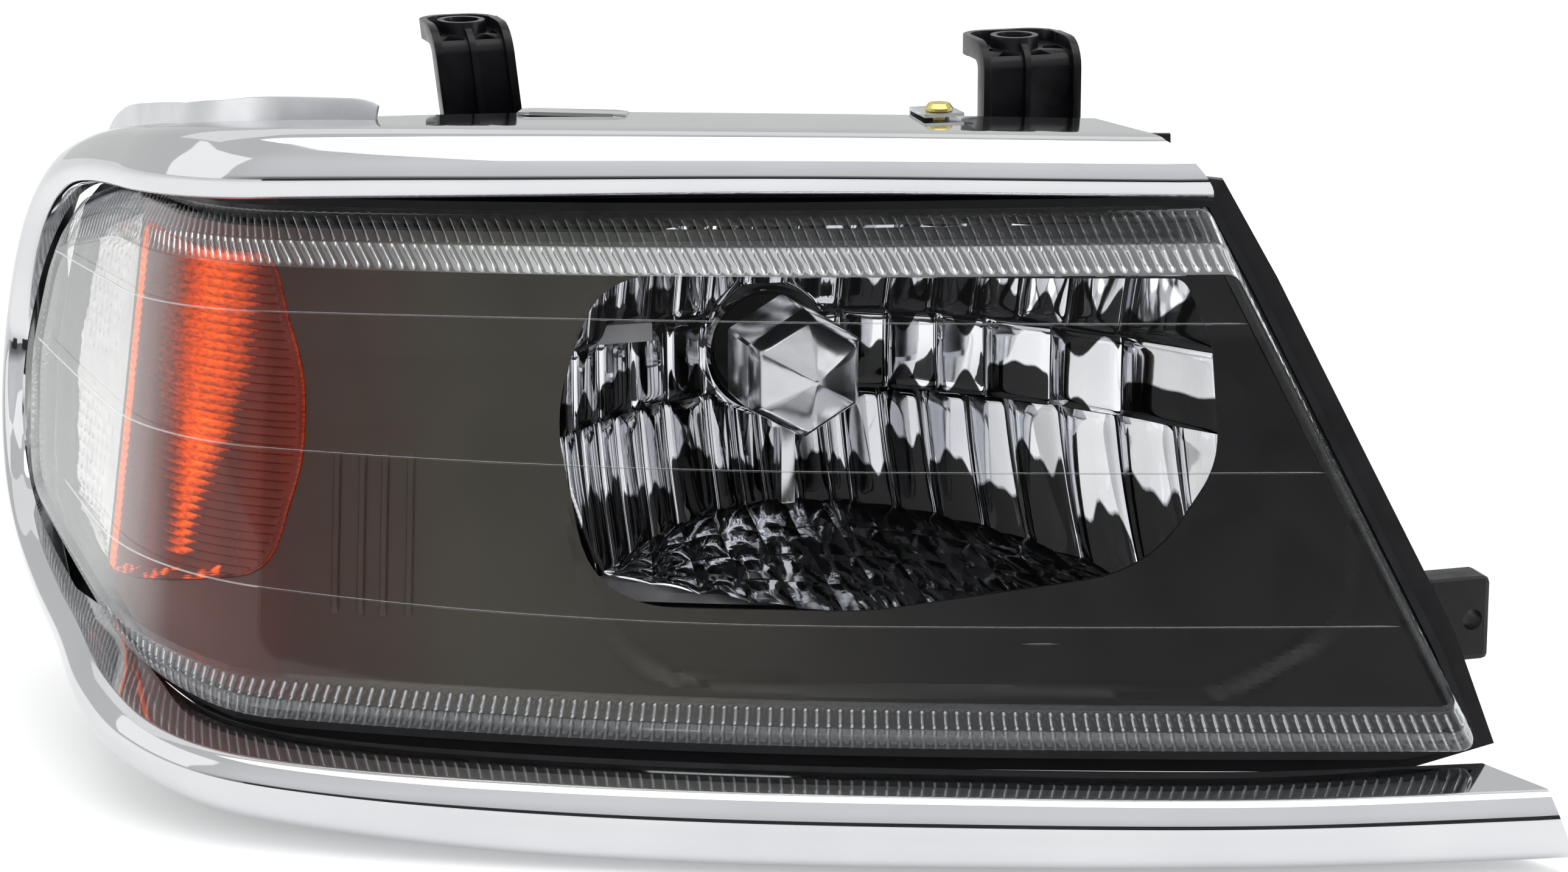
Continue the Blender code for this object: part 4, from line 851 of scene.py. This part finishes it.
def inside_by(point, ring):
    """Distance from the ring, positive inside it."""
    best, inside = 1e9, False
    for a, b in zip(ring, ring[1:] + ring[:1]):
        run = b - a
        t = clamped((point - a).dot(run) / max(run.dot(run), 1e-9))
        best = min(best, (point - a - run * t).length)
        if (a.y > point.y) != (b.y > point.y) and point.x < a.x + (point.y - a.y) * run.x / run.y:
            inside = not inside
    return best if inside else -best


def trimmed(name, bm, cutters):
    """Boolean of a solid in lamp millimetres against cutters, applied."""
    solids = []
    for index, source in enumerate([bm] + cutters):
        bmesh.ops.recalc_face_normals(source, faces=source.faces)
        solids.append(mesh_object(f"{name}_solid_{index}", source))
    for cutter in solids[1:]:
        modifier = solids[0].modifiers.new("cut", "BOOLEAN")
        modifier.operation = "DIFFERENCE"
        modifier.solver = "EXACT"
        modifier.object = cutter
    bpy.context.view_layer.update()
    graph = bpy.context.evaluated_depsgraph_get()
    result = bmesh.new()
    result.from_object(solids[0], graph)
    for solid in solids:
        bpy.data.objects.remove(solid, do_unlink=True)
    return result


def prism(points, low, high):
    """Closed solid between two copies of a ring, from the functions low and high."""
    bm = bmesh.new()
    first = [bm.verts.new(low(p)) for p in points]
    second = [bm.verts.new(high(p)) for p in points]
    bridge(bm, first, second)
    bm.faces.new(first)
    bm.faces.new(second)
    return bm


def build_mask():
    ring = outline(MASK_EDGE, (0, 2, 3, 5), MASK_STEPS * 2)
    recess, _ = rounded(RECESS, 8)
    bm = bmesh.new()

    def front(p):
        sunk = smooth(-RECESS_SLOPE, RECESS_SLOPE, inside_by(p, recess))
        return skin(p.x, p.y, MASK_DEPTH + RECESS_DEPTH * sunk)

    def back(p):
        return skin(p.x, p.y, MASK_BACK)

    outer = [bm.verts.new(front(p)) for p in ring]
    patch(bm, outer, ring, MASK_STEPS, front)
    under = [bm.verts.new(back(p)) for p in ring]
    patch(bm, under, ring, MASK_STEPS, back)
    bridge(bm, outer, under)
    amber_ring = outline(AMBER_EDGE, (1, 2, 3, 4), (24, 14, 24, 14))
    amber = prism(amber_ring, lambda p: skin(p.x, p.y, 6.0), lambda p: skin(p.x, p.y, 22.0))
    opening = prism(rounded(OPENING_EDGE, 10)[0], lambda p: (p.x, -80.0, p.y), lambda p: (p.x, 130.0, p.y))
    bm = trimmed("mask_panel", bm, [amber, opening])
    make("mask_panel", bm, MASK_PAINTED_REFLECTION, "bezel_mask", sharp=30, normals=False)

    bm = bmesh.new()
    for s in GROOVES:
        rows = []
        for k in range(GROOVE_STEPS + 1):
            z = -GROOVE_LENGTH + GROOVE_LENGTH * k / GROOVE_STEPS
            tip = smooth(0.0, 3.0, min(z + GROOVE_LENGTH, -z)) * 0.9 + 0.1
            low, high = MASK_DEPTH - 0.5 * tip, MASK_DEPTH - 0.9 * tip
            profile = ((-1.3, 13.3), (-1.1, low), (-0.7, high), (0.7, high), (1.1, low), (1.3, 13.3))
            rows.append([bm.verts.new(skin(s + w, z, d)) for w, d in profile])
        capped_rows(bm, rows)
    make("mask_ribs", bm, MASK_PAINTED_REFLECTION, "bezel_mask", sharp=40)


def spans(edge, inset, step):
    """Rows (z, least s, greatest s) across a convex outline."""
    ring = grown(rounded(edge)[0], -inset)
    low, high = min(p.y for p in ring), max(p.y for p in ring)
    rows = []
    count = int((high - low) / step)
    for k in range(count + 1):
        z = low + 0.02 + (high - low - 0.04) * k / count
        crossings = []
        for a, b in zip(ring, ring[1:] + ring[:1]):
            if (a.y > z) != (b.y > z):
                crossings.append(a.x + (z - a.y) * (b.x - a.x) / (b.y - a.y))
        if len(crossings) >= 2:
            rows.append((z, min(crossings), max(crossings)))
    return rows


def scanned(name, rows, columns, front, back_depth, material, node, painted_light=None):
    """Closed slab over the rows, flat at the back, with a front depth from front(s, z, edge distance)."""
    bm = bmesh.new()
    layer = bm.verts.layers.float.new("painted_light") if painted_light else None
    sides = []
    middle = (rows[0][0] + rows[-1][0]) / 2
    half = (rows[-1][0] - rows[0][0]) / 2
    for depth in (front, lambda s, z, edge: back_depth):
        grid = []
        for z, low, high in rows:
            line = []
            for i in range(columns + 1):
                s = low + (high - low) * i / columns
                edge = min(s - low, high - s, half - abs(z - middle))
                vert = bm.verts.new(skin(s, z, depth(s, z, edge)))
                if layer:
                    vert[layer] = painted_light(s, z, edge)
                line.append(vert)
            grid.append(line)
        sides.append(grid)
        loft(bm, grid, closed=False)
    over, under = sides
    for k in (0, -1):
        bridge(bm, over[k], under[k], closed=False)
        bridge(bm, [line[k] for line in over], [line[k] for line in under], closed=False)
    make(name, bm, material, node, sharp=24)


TOOTH_PITCH = 2.6
AMBER_FRONT, AMBER_BACK = 11.4, 17.0
PLEAT_FRONT, PLEAT_BACK = 14.6, 19.6
PLEAT_PITCH = 5.2


def amber_painted_light(s, z, edge):
    """Painted light on the amber lens: a painted lit streak that bends with height, a painted bright outboard
    edge and low painted glints.
    """
    tooth = (z / TOOTH_PITCH) % 1.0
    value = 0.16 + 0.05 * math.sin(s * 0.35)
    right = 405.0 + 26.0 * smooth(28.0, -34.0, z)
    left = 457.0 - 20.0 * smooth(28.0, -34.0, z)
    right -= 7.0 * tooth
    left += 9.0 * (1 - tooth)
    # painted lit streak across the ribs
    if right < s < left and z > -36:
        across = (s - right) / max(left - right, 1.0)
        streak = math.sin(math.pi * min(1.0, 0.12 + across)) ** 2
        value = max(value, 0.3 + 0.55 * streak * (0.3 + 0.7 * tooth))
    # painted bright outboard edge
    if 485.5 + 1.5 * tooth < s < 493.6:
        value = max(value, 0.95 - 0.25 * tooth)
    # painted glints low down
    painted_glint = math.sin(s * 0.9) + math.sin(s * 0.37 + z) > 0.7
    if painted_glint and z < -33.5 - 0.16 * (s - 390) and 410 < s < 486:
        value = 0.75
    if edge < 1.0 and s < 470:
        value = max(value, 0.36)
    return value


def build_amber():
    rows = spans(AMBER_EDGE, 0.4, 0.65)

    def ribs(s, z, edge):
        tooth = (z / TOOTH_PITCH) % 1.0 if edge > 2.2 else 0.5
        return AMBER_FRONT + 1.1 * tooth * smooth(1.0, 3.2, edge) + 1.2 * (1 - smooth(0.0, 2.0, edge))

    scanned("amber_ribs", rows, 96, ribs, AMBER_BACK, AMBER_PAINTED_GLOW, "amber_lens", amber_painted_light)


def build_marker():
    rows = spans(MARKER_EDGE, 0.3, 2.0)

    def pleats(s, z, edge):
        fold = abs((s / PLEAT_PITCH) % 1.0 - 0.5) * 2
        small = abs(((z + 2.0 * fold) / 4.0) % 1.0 - 0.5) * 2
        return PLEAT_FRONT + 2.2 * fold + 0.5 * small - 0.9 * smooth(0.0, 2.0, edge)

    scanned("marker_pleats", rows, 90, pleats, PLEAT_BACK, MARKER_SILVER, "marker_reflector")


# --- softened CAD forms

SOFT_EDGE = math.radians(32.0)

def soften(node_name, width, material):
    """The CAD form with its coplanar triangles merged and its edges rounded, as a new piece."""
    bm = bmesh.new()
    bm.from_mesh(frame["nodes"][node_name].data)
    bmesh.ops.remove_doubles(bm, verts=bm.verts, dist=2e-6)
    bmesh.ops.dissolve_limit(bm, angle_limit=math.radians(1.5), verts=bm.verts, edges=bm.edges)
    edges = [e for e in bm.edges if len(e.link_faces) == 2 and e.calc_face_angle() > SOFT_EDGE]
    bmesh.ops.bevel(
        bm, geom=edges, offset=width * 0.001, segments=2, affect="EDGES", profile=0.6, clamp_overlap=True,
        offset_type="WIDTH", loop_slide=True,
    )
    bmesh.ops.triangulate(bm, faces=[f for f in bm.faces if len(f.verts) > 4])
    for vert in bm.verts:
        vert.co = vert.co * 1000.0 + FRAME_ORIGIN
    make(node_name + "_moulding", bm, material, node_name, sharp=35, normals=False)


def build_soft_forms():
    for node_name in ("bracket_outer", "bracket_inner"):
        soften(node_name, 0.5, BRACKET)


# --- reflector

REFLECTOR_BACK = 106.0
FOCUS = 32.0
# rows of facets: lower and upper edge (None for the floor line), facet borders
ROWS = (
    (28.0, 60.0, (-70, -56, -45, -34, -23, -12, 0, 14, 30, 43, 54.5, 65, 76, 87, 98, 118)),
    (4.0, 28.0, (-72, -62, -51.5, -38.8, -25.7, -12.5, 7, 30, 43, 56.5, 68.4, 83.2, 98.5, 118)),
    (None, 4.0, (
        -72, -66, -59.5, -53, -46, -36.6, -27, -12, -3, 4, 14, 24, 30, 41.8, 52, 63.7, 74, 85.4, 97.3,
        109.4, 118,
    )),
)
ROW_OFFSETS = (0.0, -1.1, 0.4)
FACET_STEPS = (16, 26)
FACET_GAP = 0.12
MASK_GAP = 4.6
FLOOR_GAP = 5.0
FLOOR_LEVEL, FLOOR_DEPTH = -28.0, 91.0
FLOOR_SLOPE, FLOOR_BOW, FLOOR_MIDDLE = 3.83, 0.0025, 4.0
FLOOR_CELLS = (15, 4)
BACK_WALL = 3.2
BACK_CELLS = (60, 36)
BACK_HOLE = 19.5


def dish(x, z):
    return REFLECTOR_BACK - ((x - BEAM[0]) ** 2 + (z - BEAM[1]) ** 2) / (4 * FOCUS)


def floor_y(x, z):
    return FLOOR_DEPTH + FLOOR_SLOPE * (z - FLOOR_LEVEL) - FLOOR_BOW * (x - FLOOR_MIDDLE) ** 2


def mask_back(x, z):
    """Depth of the mask's rear face, which the reflector stays behind."""
    return 28.5 - 0.37 * x + 0.0008 * x * x + 0.14 * z


def floor_line(x):
    """Height at which the floor meets the dish."""
    low, high = -60.0, 0.0
    for _ in range(30):
        middle = (low + high) / 2
        if floor_y(x, middle) < dish(x, middle):
            low = middle
        else:
            high = middle
    return low


def quads(bm, grid, hole):
    """Faces of a grid, leaving out what lies within hole of the beam axis."""
    for low, high in zip(grid, grid[1:]):
        for i in range(len(low) - 1):
            quad = (low[i], low[i + 1], high[i + 1], high[i])
            centre = sum((v.co for v in quad), Vector()) / 4
            if math.hypot(centre.x - BEAM[0], centre.z - BEAM[1]) >= hole:
                bm.faces.new(quad)


def cell(bm, place, steps, hole=0.0, painted_light=None):
    """Patch from place(u, v), u and v from -1 to 1, with painted light from painted_light(u, v) stored on its
    vertices when given.
    """
    across, up = steps
    spots = [[(-1 + 2 * i / across, -1 + 2 * j / up) for i in range(across + 1)] for j in range(up + 1)]
    grid = [[bm.verts.new(place(u, v)) for u, v in row] for row in spots]
    if painted_light:
        layer = bm.verts.layers.float["painted_light"]
        for verts, row in zip(grid, spots):
            for vert, (u, v) in zip(verts, row):
                vert[layer] = painted_light(u, v)
    quads(bm, grid, hole)


def build_reflector():
    rng = random.Random(7)
    shades = random.Random(19)
    bm = bmesh.new()
    bm.verts.layers.float.new("painted_light")
    for row, (z_low, z_high, columns) in enumerate(ROWS):
        for left, right in zip(columns, columns[1:]):
            tilt_x, tilt_z = rng.uniform(-0.05, 0.05), rng.uniform(-0.05, 0.05)
            offset = ROW_OFFSETS[row] + rng.uniform(-0.25, 0.25)
            bulge = rng.uniform(0.7, 1.2) * (right - left) / 11.0

            def place(u, v):
                x = (left + right) / 2 + u * ((right - left) / 2 - FACET_GAP)
                low = floor_line(x) if z_low is None else z_low
                z = (low + z_high) / 2 + v * ((z_high - low) / 2 - FACET_GAP)
                y = dish(x, z) + offset - bulge * (1 - u * u) - 0.6 * (1 - v * v)
                y += 0.9 * (abs(u) ** 10 + abs(v) ** 12) + tilt_x * (x - left) + tilt_z * (z - low)
                return Vector((x, max(y, mask_back(x, z) + MASK_GAP), z))

            # painted reflection on each facet: dark below a wavy line or a bright band between darker parts,
            # with painted highlights along its two sides
            phase, level, wave = shades.uniform(0, 6), shades.uniform(-0.35, 0.25), shades.uniform(0.04, 0.16)
            lower = (shades.random() < 0.3, shades.random() < 0.5, True)[row]

            def painted_light(u, v):
                edge = level + wave * math.sin(3.1 * u + phase) + 0.5 * wave * math.sin(9.0 * u + 2 * phase)
                if lower:
                    value = 0.5 + 3.0 * (v - edge)
                else:
                    band = 0.75 + 0.4 * level - abs(v + level)
                    value = 0.5 + 3.0 * (band - 0.3 * math.sin(4 * u + phase))
                if abs(u) > 0.93:
                    value = max(value, 0.75)
                return clamped(value)

            cell(bm, place, FACET_STEPS, BULB_HOLE, painted_light)
    make("reflector_facets", bm, FACET_SILVER_PAINTED_REFLECTION, "reflector", sharp=80, normals=False)

    bm = bmesh.new()
    count_u, count_v = FLOOR_CELLS
    for i in range(count_u):
        for j in range(count_v):
            centre_u, centre_v = (i + 0.5) / count_u, (j + 0.5) / count_v
            amplitude = rng.uniform(0.5, 1.5)
            lean = rng.uniform(-0.5, 0.5)

            def place(u, v):
                s = centre_u + u * 0.5 / count_u
                t = centre_v + v * 0.5 / count_v
                x_back = -62 + 176 * s
                x = x_back + (x_back - 14) * 0.12 * t
                top = floor_line(x) + 0.3
                bow = FLOOR_BOW * (x - FLOOR_MIDDLE) ** 2
                end = FLOOR_LEVEL + (mask_back(x, -42) + MASK_GAP - FLOOR_DEPTH + bow) / FLOOR_SLOPE
                z = top + (min(end, top - 0.4) - top) * t
                y = floor_y(x, z)
                rise = amplitude * (1 - u * u) * (1 - 0.4 * v * v) + lean * u * 0.6
                return Vector((x, max(y, mask_back(x, z) + FLOOR_GAP), z + rise))

            cell(bm, place, (8, 8))
    make("reflector_floor", bm, FLOOR_SILVER, "reflector", sharp=80, normals=False)

    bm = bmesh.new()
    x, z = BEAM
    ring = (
        (17.2, 14), (17.2, -0.5), (18.0, -2.0), (19.4, -2.4), (20.6, -1.4), (21.2, 1.0), (21.2, 3.5),
        (20.5, 3.5), (20.5, 14),
    )
    lathe(bm, ring, (x, REFLECTOR_BACK - 4, z), 72, closed=True)
    make("reflector_neck", bm, SILVER, "reflector")


def build_reflector_back():
    """Rear shell of the reflector with ribs, pivot cups and the adjuster fork."""
    bm = bmesh.new()
    across, up = BACK_CELLS
    grid = []
    for j in range(up + 1):
        row = []
        for i in range(across + 1):
            x, z = -68 + 186 * i / across, -44 + 100 * j / up
            y = max(min(dish(x, z), floor_y(x, z)), mask_back(x, z) + MASK_GAP) + BACK_WALL
            row.append(bm.verts.new((x, y, z)))
        grid.append(row)
    quads(bm, grid, BACK_HOLE)
    ax, az = -44.0, 44.0
    block(bm, (ax - 9, 78, az - 17), (ax + 9, 98.6, az - 11), 1.0)
    for side in (-1, 1):
        block(bm, (ax + side * 7.1 - 1.9, 95.4, az - 12), (ax + side * 7.1 + 1.9, 98.6, az + 5), 0.8)
    block(bm, (-76, 70.5, -29), (-48, 76, -22), 1.0)
    block(bm, (104.3, 24.5, -20), (116, 69, -12), 1.0)
    block(bm, (107, 62, -28), (117, 70, -16), 1.0)
    for px in (-80.0, 112.0):
        lathe(bm, ((5.4, 11), (8.0, 11), (8.0, 0.4), (7.4, 0), (0, 0)), (px, 63, -32), 32)
    make("reflector_back", bm, GREY, "reflector")


# six-sided cap: radius and depth of each level, then the nose as shares of the way to its tip
CAP_LEVELS = (
    (19.3, 79.0), (19.6, 70.0), (19.6, 57.5), (19.2, 55.6), (17.3, 51.8), (16.6, 51.0), (16.2, 50.7),
)
CAP_EDGE = (0.035, 0.2, 0.5, 0.8, 0.965)
NOSE_SHARES = (0.35, 0.7, 0.93)
NOSE_AIM, NOSE_TIP = 43.2, 43.5
CAP_INSIDE = 53.5


def build_shield():
    x, z = BEAM[0] - 2, BEAM[1] + 2
    bm = bmesh.new()
    rings = []
    for radius, y in CAP_LEVELS:
        ring = []
        for k in range(6):
            a0, a1 = math.radians(90 + 60 * k), math.radians(150 + 60 * k)
            p0 = Vector((math.cos(a0), math.sin(a0))) * radius
            p1 = Vector((math.cos(a1), math.sin(a1))) * radius
            for t in CAP_EDGE:
                p = p0.lerp(p1, t)
                ring.append(bm.verts.new((x + p.x, y, z + p.y)))
        rings.append(ring)
    nose = Vector((x, NOSE_AIM, z))
    for share in NOSE_SHARES:
        rings.append([bm.verts.new(v.co.lerp(nose, share)) for v in rings[len(CAP_LEVELS) - 1]])
    loft(bm, rings)
    last = rings[-1]
    tip = bm.verts.new((x, NOSE_TIP, z))
    for k, vert in enumerate(last):
        bm.faces.new((vert, last[(k + 1) % len(last)], tip))
    axis = Vector((x, CAP_INSIDE, z))
    hollow = [bm.verts.new(v.co.lerp(Vector((x, v.co.y, z)), 0.08)) for v in rings[0]]
    deep = [bm.verts.new(Vector((v.co.x, CAP_INSIDE, v.co.z)).lerp(axis, 0.04)) for v in hollow]
    loft(bm, (rings[0], hollow, deep))
    bm.faces.new(deep)
    block(bm, (x - 3, 69.5, -23.5), (x + 1.6, 78, 3), 0.9)
    block(bm, (x - 5, 73, -1), (x + 4, 78.5, 5), 1.2)
    make("shield_cap", bm, SHIELD, "bulb_shield", sharp=28)


# --- stage


# name, place, target, size in metres, power
SOFTBOXES = (
    ("top_box", (0, -250, 1100), (0, 40, 0), (1.6, 0.9), 7),
    ("left_box", (-1300, 150, 500), (-100, 60, 0), (0.8, 0.9), 1.3),
    ("right_box", (1100, -600, 600), (60, 0, 0), (0.4, 1.0), 2.5),
    ("back_box", (0, 900, 1300), (0, 900, -200), (2.8, 1.0), 3),
)
FLOOR_REACH = 9.0
FLAG_HALF, FLAG_LIFT, FLAG_HEIGHT = 1.6, 0.01, 0.2
FLAG_PLACE, FLAG_THICKNESS = -0.95, 0.01
# brightness of the studio by height (0 below, 0.5 level, 1 above), seen only in front of the lamp
SKY = ((0.0, 0.7), (0.47, 0.55), (0.5, 0.14), (0.545, 0.2), (0.6, 0.8), (0.8, 0.95))
SKY_FADE = (-0.2, -0.6)
STUDIO_GREY = (0.72, 0.73, 0.72, 1)
AZIMUTH, ELEVATION, DISTANCE = math.radians(-17.0), math.radians(14.0), 1.3
TARGET = (0, 60, 0)
SENSOR, FOCAL_LENGTH = 36.0, 100.83


def softbox(name, place, target, size, power):
    data = bpy.data.lights.new(name, "AREA")
    data.shape = "RECTANGLE"
    data.size, data.size_y = size
    data.energy = power
    light = add_object(name, data)
    light.location = world(place)
    light.rotation_euler = (world(target) - light.location).to_track_quat("-Z", "Y").to_euler()
    light.visible_camera = False


def build_world():
    background = bpy.data.worlds.new("studio")
    background.use_nodes = True
    tree = background.node_tree
    shade = tree.nodes["Background"]
    direction = split_position(tree, "Generated")
    stops = tuple((place, (level, level, level * 1.02)) for place, level in SKY)
    sky = stepped_ramp(tree, spread(tree, direction["Z"], -1.0, 1.0), stops)
    blend = tree.nodes.new("ShaderNodeMix")
    blend.data_type = "RGBA"
    blend.inputs[MIX_A].default_value = STUDIO_GREY
    tree.links.new(spread(tree, direction["Y"], *SKY_FADE), blend.inputs["Factor"])
    tree.links.new(sky, blend.inputs[MIX_B])
    tree.links.new(blend.outputs[MIX_RESULT], shade.inputs["Color"])
    shade.inputs["Strength"].default_value = 1.0
    bpy.context.scene.world = background
    bpy.context.scene.view_settings.view_transform = "Standard"


def build_stage():
    """Pale floor, studio light, and a dark flag that only reflections see."""
    floor_z = CAD_BOX[0][2] - 0.001
    bm = bmesh.new()
    corners = ((-1, -1), (1, -1), (1, 1), (-1, 1))
    bm.faces.new([bm.verts.new((x * FLOOR_REACH, y * FLOOR_REACH, floor_z)) for x, y in corners])
    floor = mesh_object("studio_floor", bm)
    floor.data.materials.append(surface(
        "pale_floor", (0.88, 0.88, 0.88), (0.91, 0.91, 0.91), (0.6, 0.7), 3.0, 0.0, (0.02, 0.001, 40.0),
        Emission_Color=(1, 1, 1, 1), Emission_Strength=0.24,
    ))
    floor.data.shade_smooth()

    build_world()
    for box in SOFTBOXES:
        softbox(*box)

    bm = bmesh.new()
    low, high = floor_z + FLAG_LIFT, floor_z + FLAG_HEIGHT
    corners = ((-FLAG_HALF, low), (FLAG_HALF, low), (FLAG_HALF, high), (-FLAG_HALF, high))
    sheet = [[bm.verts.new((x, FLAG_PLACE + shift, z)) for x, z in corners] for shift in (0, FLAG_THICKNESS)]
    bridge(bm, *sheet)
    for ring in sheet:
        bm.faces.new(ring)
    flag = mesh_object("dark_flag", bm)
    flag.data.materials.append(surface(
        "flag_felt", (0.012, 0.012, 0.013), (0.02, 0.02, 0.021), (0.8, 0.95), 30.0, 0.0, (0.2, 0.001, 500.0),
    ))
    flag.visible_camera = False
    flag.visible_diffuse = False
    flag.visible_shadow = False


def build_camera():
    level = math.cos(ELEVATION)
    back = Vector((math.sin(AZIMUTH) * level, -math.cos(AZIMUTH) * level, math.sin(ELEVATION)))
    data = bpy.data.cameras.new("view")
    data.sensor_width = SENSOR
    data.lens = FOCAL_LENGTH
    camera = add_object("view", data)
    camera.location = world(TARGET) + back * DISTANCE
    camera.rotation_euler = (-back).to_track_quat("-Z", "Y").to_euler()
    bpy.context.scene.camera = camera


build_camera()
build_stage()
build_bezel()
build_collar()
build_shelf_tab()
build_lens()
build_mask()
build_amber()
build_marker()
build_soft_forms()
build_reflector()
build_reflector_back()
build_shield()
